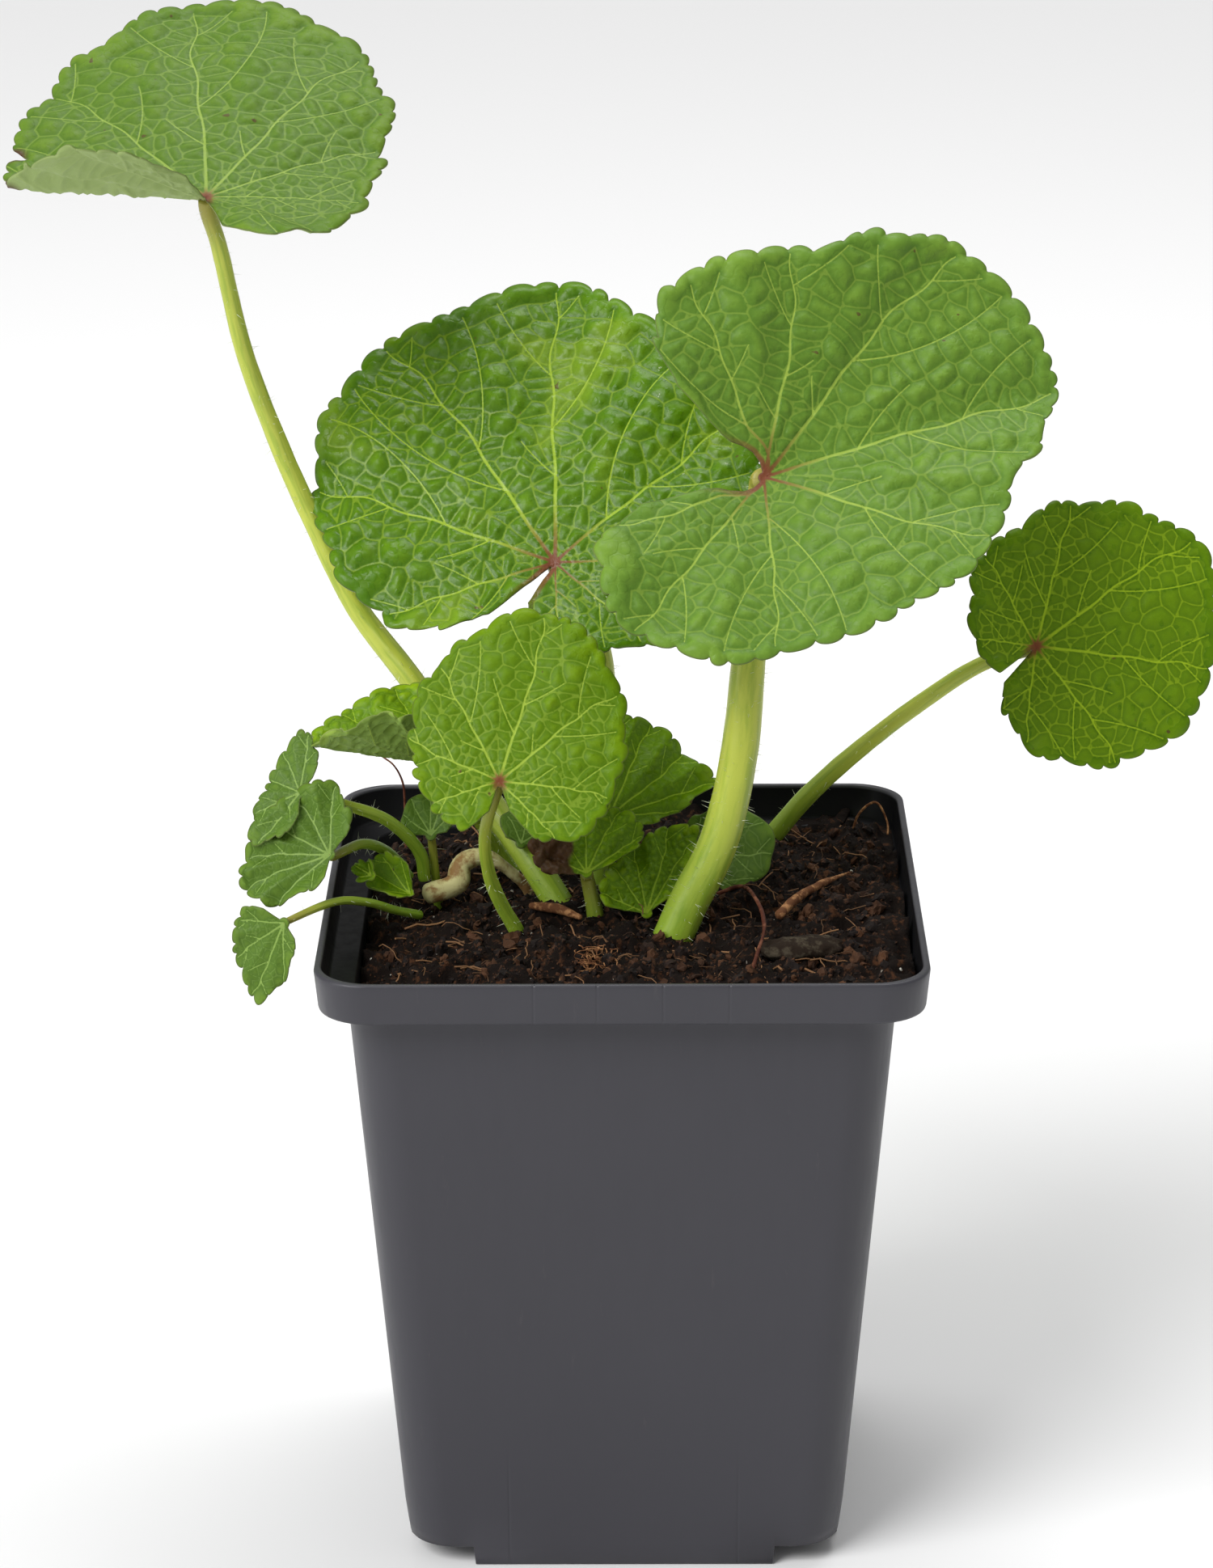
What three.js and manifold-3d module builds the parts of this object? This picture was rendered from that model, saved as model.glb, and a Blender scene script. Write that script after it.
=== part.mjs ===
// A young hollyhock in a square nursery pot, in millimetres, +Z up.
// The origin is the middle of the pot's foot, on the surface that it stands on. -Y is the front.
import * as THREE from "three";
import { mergeVertices } from "three/addons/utils/BufferGeometryUtils.js";
import Module from "manifold-3d";

// Driving dimensions of the pot.
const POT_HEIGHT = 100;
const RIM_HALF = 45;
const RIM_CORNER = 8;
const COLLAR_HEIGHT = 6.4;
const COLLAR_FLARE = 0.6;
const NECK_HALF = 40.4;
const BASE_HALF = 33;
const BASE_CORNER = 7;
const WALL = 1;
const FLOOR = 1.2;
const FOOT_ARM_HALF = 22.9;
const FOOT_HEIGHT = 3;
const DRAIN_RADIUS = 2.6;
const DRAIN_INSET = 28;

// Driving dimensions of what grows in it.
const GAP = 0.3;
const SOIL_LEVEL = 96;
const SOIL_FALL_LEFT = 3.4;
const SOIL_FALL_BACK = 1.2;
const SOIL_HEAP_RIGHT = 1.1;
const SOIL_LUMP = 0.7;
const BLADE_THICKNESS = 0.8;
const SMALL_BLADE_THICKNESS = 0.6;
const BLADE_ROOT = 1.4;

const wasm = await Module();
wasm.setup();

const rad = THREE.MathUtils.degToRad;
const green = (hex, roughness) => ({ color: hex, roughness, metalness: 0 });
const FINISH = {
  pot: { color: 0x3a3a40, roughness: 0.42, metalness: 0 },
  soil: { color: 0x2a1a12, roughness: 0.95, metalness: 0 },
  bark: { color: 0x5a3a24, roughness: 0.9, metalness: 0 },
  glossyLeaf: green(0x4f8f2c, 0.38),
  satinLeaf: green(0x568f45, 0.55),
  oliveLeaf: green(0x4c8124, 0.5),
  youngLeaf: green(0x5c9a2a, 0.5),
  greyLeaf: green(0x4e7f52, 0.6),
  stalk: green(0x9fbf3e, 0.45),
  paleStem: { color: 0xd8cf96, roughness: 0.5, metalness: 0 },
};

const plant = new THREE.Group();

function add(name, geometry, finish) {
  const mesh = new THREE.Mesh(geometry, new THREE.MeshStandardMaterial(FINISH[finish]));
  mesh.name = name;
  plant.add(mesh);
  return mesh;
}

// ---- Joining and cutting ----

function toSolid(geometry) {
  const bare = geometry.clone();
  bare.deleteAttribute("normal");
  bare.deleteAttribute("uv");
  const merged = mergeVertices(bare, 1e-4);
  return new wasm.Manifold(
    new wasm.Mesh({
      numProp: 3,
      vertProperties: merged.attributes.position.array,
      triVerts: new Uint32Array(merged.index.array),
    }),
  );
}

function toGeometry(solid) {
  const mesh = solid.getMesh();
  const geometry = new THREE.BufferGeometry();
  geometry.setAttribute("position", new THREE.BufferAttribute(mesh.vertProperties, 3));
  geometry.setIndex(new THREE.BufferAttribute(mesh.triVerts, 1));
  geometry.computeVertexNormals();
  return geometry;
}

function largest(solid) {
  return solid.decompose().sort((a, b) => b.volume() - a.volume())[0];
}

// Moves every vertex of a geometry by a rule that changes the vector it is given.
function warp(geometry, rule) {
  const position = geometry.attributes.position;
  const point = new THREE.Vector3();
  for (let i = 0; i < position.count; i++) {
    point.fromBufferAttribute(position, i);
    rule(point);
    position.setXYZ(i, point.x, point.y, point.z);
  }
  geometry.computeVertexNormals();
  return geometry;
}

// ---- Pot ----

const SIDE_STEPS = 4;
const CORNER_STEPS = 4;
const QUARTER_STEPS = SIDE_STEPS + CORNER_STEPS;

// A point on a square with rounded corners, step by step round it from the middle of its +X side.
function squareRing(step, half, corner) {
  const quarter = Math.floor(step / QUARTER_STEPS);
  const along = step - quarter * QUARTER_STEPS;
  const straight = half - corner;
  const point = new THREE.Vector2();
  if (along <= SIDE_STEPS / 2) {
    point.set(half, (straight * along) / (SIDE_STEPS / 2));
  } else if (along <= SIDE_STEPS / 2 + CORNER_STEPS) {
    const turn = ((along - SIDE_STEPS / 2) / CORNER_STEPS) * (Math.PI / 2);
    point.set(straight + corner * Math.cos(turn), straight + corner * Math.sin(turn));
  } else {
    const left = (QUARTER_STEPS - along) / (SIDE_STEPS / 2);
    point.set(straight * left, half);
  }
  return point.rotateAround(new THREE.Vector2(), (quarter * Math.PI) / 2);
}

// Turns a profile of [half width, height] pairs into a square vessel shape with rounded corners.
function squareLathe(profile) {
  const steps = 4 * QUARTER_STEPS;
  const points = profile.map(([half, z]) => new THREE.Vector2(half, z));
  const geometry = new THREE.LatheGeometry(points, steps);
  geometry.rotateX(Math.PI / 2);
  return warp(geometry, (p) => {
    const half = Math.hypot(p.x, p.y);
    if (half < 1e-6) return;
    const turn = (Math.atan2(p.y, p.x) / (2 * Math.PI) + 1) * steps;
    const share = THREE.MathUtils.clamp((half - BASE_HALF) / (RIM_HALF - BASE_HALF), 0, 1);
    const corner = Math.min(THREE.MathUtils.lerp(BASE_CORNER, RIM_CORNER, share), half * 0.4);
    const ring = squareRing(Math.round(turn) % steps, half, corner);
    p.set(ring.x, ring.y, p.z);
  });
}

const collarBase = POT_HEIGHT - COLLAR_HEIGHT;

const outerProfile = [
  [0, 0],
  [BASE_HALF, 0],
  [NECK_HALF, collarBase],
  [RIM_HALF - COLLAR_FLARE, collarBase],
  [RIM_HALF, POT_HEIGHT],
  [0, POT_HEIGHT],
];

// The hollow inside, shrunk by a clearance where it is used as the limit of the soil.
function hollowProfile(clearance) {
  const neck = NECK_HALF - WALL - clearance;
  const ledge = collarBase + WALL + clearance;
  return [
    [0, FLOOR + clearance],
    [BASE_HALF - WALL - clearance, FLOOR + clearance],
    [neck, ledge],
    [RIM_HALF - COLLAR_FLARE - WALL - clearance, ledge],
    [RIM_HALF - WALL - clearance, POT_HEIGHT + 1],
    [0, POT_HEIGHT + 1],
  ];
}

// The four blocks that lift the pot's bottom corners off the ground, so that water can leave.
function cornerBlocks(height, armHalf) {
  const side = BASE_HALF;
  return [1, -1].flatMap((sx) =>
    [1, -1].map((sy) => {
      const block = new THREE.BoxGeometry(side, side, 2 * height);
      block.translate(sx * (armHalf + side / 2), sy * (armHalf + side / 2), 0);
      return toSolid(block);
    }),
  );
}

function drain(sx, sy) {
  const length = 2 * (FOOT_HEIGHT + FLOOR) + 2;
  const hole = new THREE.CylinderGeometry(DRAIN_RADIUS, DRAIN_RADIUS, length, 12);
  hole.rotateX(Math.PI / 2);
  hole.translate(sx * DRAIN_INSET, sy * DRAIN_INSET, 0);
  return toSolid(hole);
}

function potSolid() {
  let pot = toSolid(squareLathe(outerProfile));
  let hollow = toSolid(squareLathe(hollowProfile(0)));
  for (const block of cornerBlocks(FOOT_HEIGHT + FLOOR, FOOT_ARM_HALF - FLOOR)) {
    hollow = hollow.subtract(block);
  }
  pot = pot.subtract(hollow);
  for (const block of cornerBlocks(FOOT_HEIGHT, FOOT_ARM_HALF)) pot = pot.subtract(block);
  for (const sx of [1, -1]) {
    for (const sy of [1, -1]) pot = pot.subtract(drain(sx, sy));
  }
  return pot;
}

add("pot", toGeometry(potSolid()), "pot");

// ---- Soil ----

// Height of the soil: lower along the left, heaped a little at the front right, and lumpy.
function soilTop(x, y) {
  const left = THREE.MathUtils.smoothstep(-x, 18, 38);
  const back = THREE.MathUtils.smoothstep(y, 20, 40);
  const broad = Math.sin(x * 0.31 + 1) * Math.cos(y * 0.37 - 0.6);
  const narrow = 0.5 * Math.sin(x * 0.7 - y * 0.55);
  const heap = SOIL_HEAP_RIGHT * THREE.MathUtils.smoothstep(x - y, 20, 70);
  const fall = SOIL_FALL_LEFT * left + SOIL_FALL_BACK * back * (1 - left);
  return SOIL_LEVEL - fall + heap + SOIL_LUMP * (broad + narrow);
}

// ---- Stalks, stems and roots ----

// A tube along a smooth path, with a radius that runs evenly through the given radii.
function stem(points, radii, steps = 12, sides = 8) {
  const path = new THREE.CatmullRomCurve3(points.map((p) => new THREE.Vector3(...p)));
  const core = 0.2;
  const section = new THREE.Shape().absarc(0, 0, core, 0, 2 * Math.PI);
  const options = { steps, curveSegments: sides / 2, extrudePath: path, bevelEnabled: false };
  const geometry = new THREE.ExtrudeGeometry(section, options);
  const spine = path.getSpacedPoints(steps);
  const away = new THREE.Vector3();
  return warp(geometry, (p) => {
    let nearest = 0;
    spine.forEach((s, i) => {
      if (p.distanceTo(s) < p.distanceTo(spine[nearest])) nearest = i;
    });
    const place = (nearest / steps) * (radii.length - 1);
    const low = Math.min(Math.floor(place), radii.length - 2);
    const radius = THREE.MathUtils.lerp(radii[low], radii[low + 1], place - low);
    away.subVectors(p, spine[nearest]).setLength(radius);
    p.addVectors(spine[nearest], away);
  });
}

// ---- Leaf blades ----

// Smooth value at an angle, through rows of [angle, ...values] in order of angle.
function along(rows, angle, column) {
  const found = rows.findIndex((row) => row[0] >= angle);
  const next = found < 0 ? rows.length - 1 : Math.max(found, 1);
  const [before, after] = [rows[next - 1], rows[next]];
  const share = THREE.MathUtils.clamp((angle - before[0]) / (after[0] - before[0]), 0, 1);
  const eased = (1 - Math.cos(Math.PI * share)) / 2;
  return THREE.MathUtils.lerp(before[column], after[column], eased);
}

// A blade in its own frame: stalk joint at the origin, tip towards +Y, upper face towards +Z.
// Each rib is [angle to the left of the tip, length, lift at the joint, droop over its length].
function bladePoint(ribs, angle, share) {
  const length = along(ribs, angle, 1);
  const lift = rad(along(ribs, angle, 2));
  const droop = rad(along(ribs, angle, 3));
  const run = BLADE_ROOT + (length - BLADE_ROOT) * share;
  const bend = (droop * run) / length;
  const chord = Math.abs(bend) < 1e-4 ? run : (2 * run * Math.sin(bend / 2)) / bend;
  const slope = lift - bend / 2;
  const out = chord * Math.cos(slope);
  const turn = rad(angle);
  return new THREE.Vector3(-out * Math.sin(turn), out * Math.cos(turn), chord * Math.sin(slope));
}

function blade(ribs, thickness, around, outward) {
  const first = ribs[0][0];
  const span = ribs[ribs.length - 1][0] - first;
  const geometry = new THREE.BoxGeometry(1, 1, 1, around, outward, 1);
  return warp(geometry, (p) => {
    const angle = first + (0.5 - p.x) * span;
    const share = p.y + 0.5;
    const here = bladePoint(ribs, angle, share);
    const acrossStep = bladePoint(ribs, angle - 1, share).sub(here);
    const outStep = bladePoint(ribs, angle, share + 0.02).sub(here);
    const normal = acrossStep.cross(outStep).normalize();
    p.copy(here.addScaledVector(normal, p.z * thickness));
  });
}

// Turns a mesh so that its blade leans forwards by tilt, turns about the vertical, and spins in
// its own plane.
function face(mesh, turn, tilt, spin) {
  const vertical = new THREE.Quaternion().setFromAxisAngle(new THREE.Vector3(0, 0, 1), rad(turn));
  const lean = new THREE.Quaternion().setFromAxisAngle(new THREE.Vector3(1, 0, 0), rad(tilt));
  const own = new THREE.Quaternion().setFromAxisAngle(new THREE.Vector3(0, 0, 1), rad(spin));
  mesh.quaternion.copy(vertical).multiply(lean).multiply(own);
}

function leaf({ name, at, turn, tilt, spin, ribs, finish, small = false }) {
  const thickness = small ? SMALL_BLADE_THICKNESS : BLADE_THICKNESS;
  const geometry = small ? blade(ribs, thickness, 14, 3) : blade(ribs, thickness, 26, 4);
  const mesh = add(name, geometry, finish);
  mesh.position.set(...at);
  face(mesh, turn, tilt, spin);
}

const LEAVES = [
  {
    name: "leaf_high_left", at: [-61.8, 15, 202.7], turn: 0, tilt: 24, spin: 0, finish: "satinLeaf",
    ribs: [
      [-160, 9, 5, 0], [-130, 18, 8, 0], [-110, 21, 2, 5], [-85, 23.5, 0, 5], [-63, 29, 0, 8],
      [-43, 38, 2, 10], [-22, 47.5, 3, 10], [-6, 52, 3, 8], [11, 52, 3, 8], [28, 45, 3, 10],
      [47, 38, 2, 10], [62, 35, 0, 8], [78, 33, 0, 4], [88, 31, 2, 0], [100, 28, 18, 0],
      [115, 25, 38, 0], [135, 21, 45, 0], [158, 10, 50, 0],
    ],
  },
  {
    name: "leaf_centre", at: [-10.1, 12, 146.8], turn: -8, tilt: 48, spin: 0, finish: "glossyLeaf",
    ribs: [
      [-206, 8, 0, 0], [-190, 13, 0, 0], [-165, 16, 2, 5], [-140, 17.5, 2, 8], [-115, 24, 3, 10],
      [-90, 30, 4, 12], [-63, 34, 4, 12], [-38, 40, 4, 12], [-16, 43, 4, 12], [4, 49, 4, 12],
      [26, 47, 4, 12], [40, 49, 4, 12], [55, 46, 4, 12], [73, 41, 4, 12], [93, 34, 4, 12],
      [114, 27, 4, 8], [128, 21, 3, 5], [137, 14, 2, 0],
    ],
  },
  {
    name: "leaf_large_right", at: [21.3, 2, 162.8], turn: 8, tilt: 56, spin: -75, finish: "satinLeaf",
    ribs: [
      [-183, 20, 12, 8], [-170, 30, 14, 10], [-151, 35, 16, 12], [-127, 33, 18, 10], [-100, 30, 20, 8],
      [-71, 32, 22, 8], [-45, 36, 20, 8], [-22, 37, 12, 8], [-10, 43, 6, 10], [3, 50, 2, 12],
      [20, 51, 2, 14], [33, 49.5, 4, 14], [45, 43, 8, 14], [60, 36, 12, 14], [80, 33, 16, 12],
      [100, 31.5, 16, 10], [112, 26, 14, 6], [119, 19, 12, 0],
    ],
  },
  {
    name: "leaf_front", at: [-18, -22, 123.3], turn: 0, tilt: 55, spin: -12, finish: "satinLeaf",
    ribs: [
      [-150, 5, 0, 0], [-132, 11, 2, 5], [-110, 15, 4, 8], [-86, 16.5, 5, 10], [-60, 19, 5, 12],
      [-37, 22.5, 5, 12], [-9, 27, 5, 12], [1, 27, 5, 12], [24, 22.5, 5, 12], [45, 19.5, 5, 12],
      [70, 16, 4, 12], [92, 13, 4, 10], [120, 11, 3, 8], [154, 9.5, 0, 5], [175, 5, 0, 0],
    ],
  },
  {
    name: "leaf_low_right", at: [64.1, 20, 130.8], turn: 10, tilt: 66, spin: -48, finish: "oliveLeaf",
    ribs: [
      [-178, 8, -4, 0], [-160, 12, -2, 2], [-129, 17.5, 2, 5], [-100, 22.5, 4, 10], [-70, 27, 5, 12],
      [-40, 29, 5, 12], [-16, 31.5, 5, 12], [5, 28, 5, 12], [30, 23.5, 5, 12], [57, 18, 5, 10],
      [80, 16, 6, 8], [105, 12, 8, 4], [140, 9.5, 10, 0], [170, 8, 12, 0],
    ],
  },
  {
    name: "leaf_folded_left", at: [-28.2, -2.6, 119.8], turn: 0, tilt: 12, spin: 90, finish: "youngLeaf",
    small: true,
    ribs: [
      [-130, 6, 25, 0], [-90, 14, 25, 4], [-60, 15.5, 24, 6], [-30, 17.5, 15, 8], [-10, 19, 8, 6],
      [5, 18.5, 10, 4], [25, 17, 30, 0], [50, 15, 50, 0], [90, 12, 66, 0], [130, 6, 66, 0],
    ],
  },
  {
    name: "young_leaf_pleated", at: [-2.2, 2, 109.1], turn: 12, tilt: 55, spin: -40, finish: "youngLeaf",
    small: true,
    ribs: [
      [-75, 5, 8, 0], [-57, 8, 8, 0], [-46, 13, 6, 2], [-36, 18.5, 5, 6], [-17, 16.2, 6, 8],
      [9, 16.8, 8, 8], [26, 16.6, 8, 8], [45, 11.5, 8, 5], [65, 7, 8, 0],
    ],
  },
  {
    name: "young_leaf_withered", at: [-5.4, -6, 103.1], turn: 0, tilt: 50, spin: 0, finish: "youngLeaf",
    small: true,
    ribs: [
      [-78, 4.5, 5, 0], [-66, 9, 6, 5], [-50, 11.6, 8, 8], [-30, 12, 8, 8], [-10, 10.5, 8, 8],
      [15, 9.6, 8, 8], [45, 8.8, 8, 8], [65, 9.2, 6, 8], [82, 7.6, 5, 5], [105, 4.4, 0, 0],
    ],
  },
  {
    name: "young_leaf_basal", at: [3.7, -7, 96.9], turn: 4, tilt: 52, spin: -20, finish: "youngLeaf",
    small: true,
    ribs: [
      [-40, 5, 4, 0], [-22, 10, 4, 2], [-12, 16, 4, 6], [1, 14.8, 5, 6], [24, 11.2, 6, 6],
      [50, 9.2, 6, 6], [78, 7.8, 6, 4], [104, 6.4, 4, 0],
    ],
  },
  {
    name: "seed_leaf_left", at: [-29.3, 2, 106.4], turn: 0, tilt: 60, spin: 4,
    finish: "greyLeaf", small: true,
    ribs: [
      [-85, 2.6, 8, 0], [-50, 5.2, 8, 6], [-8, 6.6, 6, 8], [20, 6.6, 6, 8], [58, 5.2, 8, 6], [88, 3, 8, 0],
    ],
  },
  {
    name: "seed_leaf_behind", at: [-15.5, 1.5, 105.2], turn: 10, tilt: 50, spin: -20,
    finish: "greyLeaf", small: true,
    ribs: [[-85, 2.6, 4, 0], [-45, 5.4, 4, 6], [0, 6.6, 4, 8], [45, 5.4, 4, 6], [85, 2.6, 4, 0]],
  },
  {
    name: "seed_leaf_right", at: [10.4, 6.5, 100.8], turn: -6, tilt: 64, spin: -62,
    finish: "greyLeaf", small: true,
    ribs: [
      [-100, 4, 0, 0], [-65, 8, 2, 4], [-30, 12.5, 2, 8], [-10, 13.6, 2, 8], [20, 11.5, 2, 8],
      [55, 7, 2, 4], [85, 3.6, 0, 0],
    ],
  },
  {
    name: "seedling_leaf_upper", at: [-48.4, -8, 116.8], turn: -20, tilt: 50, spin: 45,
    finish: "greyLeaf", small: true,
    ribs: [
      [-80, 3.4, 0, 0], [-55, 6.8, 2, 0], [-36, 9.6, 4, 0], [-15, 7.6, 4, 5], [10, 6, 4, 8],
      [50, 5.6, 4, 8], [80, 7.6, 4, 5], [103, 10.6, 2, 4], [124, 7.6, 0, 0], [150, 4, 0, 0],
    ],
  },
  {
    name: "seedling_leaf_pleated", at: [-43.8, -13.4, 108.8], turn: -12, tilt: 58, spin: 82,
    finish: "greyLeaf", small: true,
    ribs: [
      [-125, 4, 2, 0], [-100, 7.5, 4, 0], [-75, 11, 4, 6], [-45, 11, 4, 8], [-14, 11.5, 4, 10],
      [10, 12.5, 4, 10], [33, 14, 4, 10], [52, 12, 4, 8], [72, 7, 4, 0], [100, 4, 2, 0],
    ],
  },
  {
    name: "seedling_leaf_hanging", at: [-50.4, -20, 100.4], turn: -20, tilt: 84, spin: 164,
    finish: "greyLeaf", small: true,
    ribs: [
      [-105, 4, 0, 0], [-88, 6.5, 2, 0], [-60, 8, 4, 5], [-26, 10.5, 4, 8], [-2, 13.6, 4, 8],
      [12, 9.5, 4, 8], [35, 5, 4, 0], [60, 3, 2, 0],
    ],
  },
  {
    name: "seedling_leaf_cupped", at: [-32.2, -4.8, 99.2], turn: -20, tilt: 26, spin: 80,
    finish: "youngLeaf", small: true,
    ribs: [
      [-95, 3, 45, -20], [-60, 5.5, 42, -15], [-25, 8, 30, -10], [0, 8.6, 22, -10], [25, 7.5, 22, -10],
      [60, 4.5, 25, -10], [95, 2.6, 25, 0],
    ],
  },
  {
    name: "seedling_leaf_frilly", at: [-38, -7.6, 103.4], turn: -10, tilt: 70, spin: 60,
    finish: "youngLeaf", small: true,
    ribs: [[-90, 1.8, 0, 0], [-45, 2.6, 0, 8], [0, 3.4, 0, 10], [45, 2.8, 0, 8], [90, 1.8, 0, 0]],
  },
];
LEAVES.forEach(leaf);

// ---- Soil, and what grows out of it or lies on it ----

// Below this height the soil simply fills the pot.
const GROUND_BOTTOM = 40;

// Everything between there and the soil's surface, raised by a clearance: it trims what meets the soil.
function ground(clearance) {
  const reach = 2 * RIM_HALF;
  const cells = 40;
  const block = new THREE.BoxGeometry(2 * reach, 2 * reach, 1, cells, cells, 1);
  warp(block, (p) => {
    p.z = p.z > 0 ? soilTop(p.x, p.y) + clearance : GROUND_BOTTOM;
  });
  return toSolid(block);
}

function soilSolid() {
  let limit = toSolid(squareLathe(hollowProfile(GAP)));
  for (const corner of cornerBlocks(FOOT_HEIGHT + FLOOR + GAP, FOOT_ARM_HALF - FLOOR - GAP)) {
    limit = limit.subtract(corner);
  }
  const lower = new THREE.BoxGeometry(2 * RIM_HALF, 2 * RIM_HALF, 2 * GROUND_BOTTOM);
  return largest(limit.intersect(ground(0).add(toSolid(lower))));
}

add("soil", toGeometry(soilSolid()), "soil");

const trimmer = ground(GAP);

// The largest piece of a geometry that stays clear of the soil.
function aboveSoil(geometry) {
  return toGeometry(largest(toSolid(geometry).subtract(trimmer)));
}

// The point just under a blade's joint, where its stalk ends.
function underJoint(name, clearance) {
  const mesh = plant.getObjectByName(name);
  const below = new THREE.Vector3(0, 0, -clearance).applyQuaternion(mesh.quaternion);
  return mesh.position.clone().add(below).toArray();
}

const STALKS = [
  {
    name: "stalk_high_left", leaf: "leaf_high_left", clearance: 1.6, radii: [2.4, 2.1, 1.7, 1.4, 1.2],
    points: [
      [-6, -3, 89], [-9.9, 0, 96], [-14.9, 4, 102.8], [-19.9, 9, 108.3], [-25.6, 13, 116.2],
      [-31.8, 17, 125.4], [-41.2, 22.5, 136.8], [-47.9, 24.4, 150.6], [-52.6, 24.4, 162.2],
      [-57.5, 22, 178], [-60.4, 18, 195],
    ],
    steps: 18,
  },
  {
    name: "stalk_large_right", leaf: "leaf_large_right", clearance: 2.6, radii: [3.1, 3, 2.8, 2.4, 1.8],
    points: [
      [4, -14, 88], [7.1, -14, 94.3], [9.8, -13, 100.4], [14.6, -11, 110], [17.7, -8, 123.1],
      [19, -5, 136.2], [20.6, -1.5, 150],
    ],
    steps: 14,
  },
  {
    name: "stalk_low_right", leaf: "leaf_low_right", clearance: 1.8, radii: [1.7, 1.5, 1.3, 1.1],
    points: [
      [19, 33, 90], [23.2, 31, 95.1], [29.4, 28.4, 103.6], [36.9, 26, 111.7], [46.8, 23.6, 120.6],
      [56, 22.4, 127.2],
    ],
    steps: 14,
  },
  {
    name: "stalk_front", leaf: "leaf_front", clearance: 1.3, radii: [1.2, 1.1, 0.9, 0.85],
    points: [
      [-14, -11, 90], [-15.6, -12, 95.2], [-18.4, -14, 101.5], [-19.9, -16, 106.8], [-20.3, -19, 114.3],
    ],
  },
  {
    name: "stalk_centre", leaf: "leaf_centre", clearance: 2, radii: [1.9, 1.8, 1.6, 1.3],
    points: [
      [-4.4, 5, 90], [-4, 6, 97], [-3.4, 9.6, 109], [-2.8, 12, 121], [-3, 13.6, 131], [-6, 14.6, 140.4],
    ],
  },
  {
    name: "stalk_folded", leaf: "leaf_folded_left", clearance: 1.2, radii: [1.1, 1, 0.8],
    points: [[-15, 14, 90], [-17.5, 13.5, 97], [-23, 10, 107], [-27, 3, 115]],
  },
  {
    name: "stalk_pleated", leaf: "young_leaf_pleated", clearance: 1.3, radii: [1, 0.9, 0.8],
    points: [[1.4, -0.5, 90], [1, -0.3, 97], [0, 0.2, 103]],
  },
  {
    name: "stalk_withered", leaf: "young_leaf_withered", clearance: 1.2, radii: [1.4, 1.3, 1],
    points: [[-3.8, -5.4, 90], [-4.2, -5.5, 96.5]],
    steps: 6,
  },
  {
    name: "seed_leaf_left_stalk", leaf: "seed_leaf_left", clearance: 0.9, radii: [0.8, 0.7, 0.6],
    points: [[-28, 5.2, 88], [-28.6, 4.6, 96], [-29, 3.4, 102]],
  },
];

STALKS.forEach(({ name, leaf: top, clearance, radii, points, steps }) => {
  const route = [...points, underJoint(top, clearance)];
  add(name, aboveSoil(stem(route, radii, steps)), "stalk");
});

// The second seedling: a bent pale stem whose crown lies on the soil, and its stalks.
const CROWN = [-29.6, 0.4, 97.4];

const paleStem = stem(
  [
    [-13.4, 8.2, 90], [-15, 6.6, 96.4], [-17.7, 5, 99.8], [-21.1, 4, 102.2], [-24.6, 3, 101.3],
    [-25.4, 1.6, 98.6], CROWN,
  ],
  [0.9, 0.9, 1, 1.3, 1.7, 1.5],
  14,
);
add("seedling_stem", aboveSoil(paleStem), "paleStem");

const SEEDLING_STALKS = [
  {
    name: "seedling_stalk_upper", leaf: "seedling_leaf_upper", clearance: 1.4, radii: [1, 1, 0.9, 0.8],
    points: [[-30.4, 2.6, 99.2], [-31, 1.6, 103.6], [-35.4, -1.4, 109.8], [-41.5, -5, 113.7]],
  },
  {
    name: "seedling_stalk_pleated", leaf: "seedling_leaf_pleated", clearance: 1.2, radii: [0.8, 0.8, 0.7],
    points: [[-32.8, 3.6, 99], [-35.4, 2.4, 103], [-39.2, -4, 107.2]],
  },
  {
    name: "seedling_stalk_hanging", leaf: "seedling_leaf_hanging", clearance: 1.1, radii: [0.7, 0.65, 0.55],
    points: [[-31, -3.4, 95.4], [-34.7, -7, 97.6], [-38.2, -10.4, 100], [-42.9, -14, 101.6]],
  },
];

SEEDLING_STALKS.forEach(({ name, leaf: top, clearance, radii, points }) => {
  const route = [...points, underJoint(top, clearance)];
  add(name, aboveSoil(stem(route, radii)), "stalk");
});

// ---- Bark and roots on the soil ----

// A lumpy pebble of the given half sizes.
function lump(at, halves, turn, roughness) {
  const ball = new THREE.SphereGeometry(1, 14, 8);
  warp(ball, (p) => {
    const bump = 1 + roughness * Math.sin(5 * p.x + 2) * Math.cos(4 * p.y - 1);
    p.set(p.x * halves[0] * bump, p.y * halves[1] * bump, p.z * halves[2]);
    p.applyAxisAngle(new THREE.Vector3(0, 0, 1), rad(turn));
    p.add(new THREE.Vector3(...at));
  });
  return ball;
}

add("bark_chunk", aboveSoil(lump([26.5, -25, 98.2], [6.6, 2.9, 1.5], 8, 0.12)), "bark");
add("fibre_clump", aboveSoil(lump([-4, -27, 97.2], [3.2, 3, 1.3], 0, 0.2)), "bark");

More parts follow.
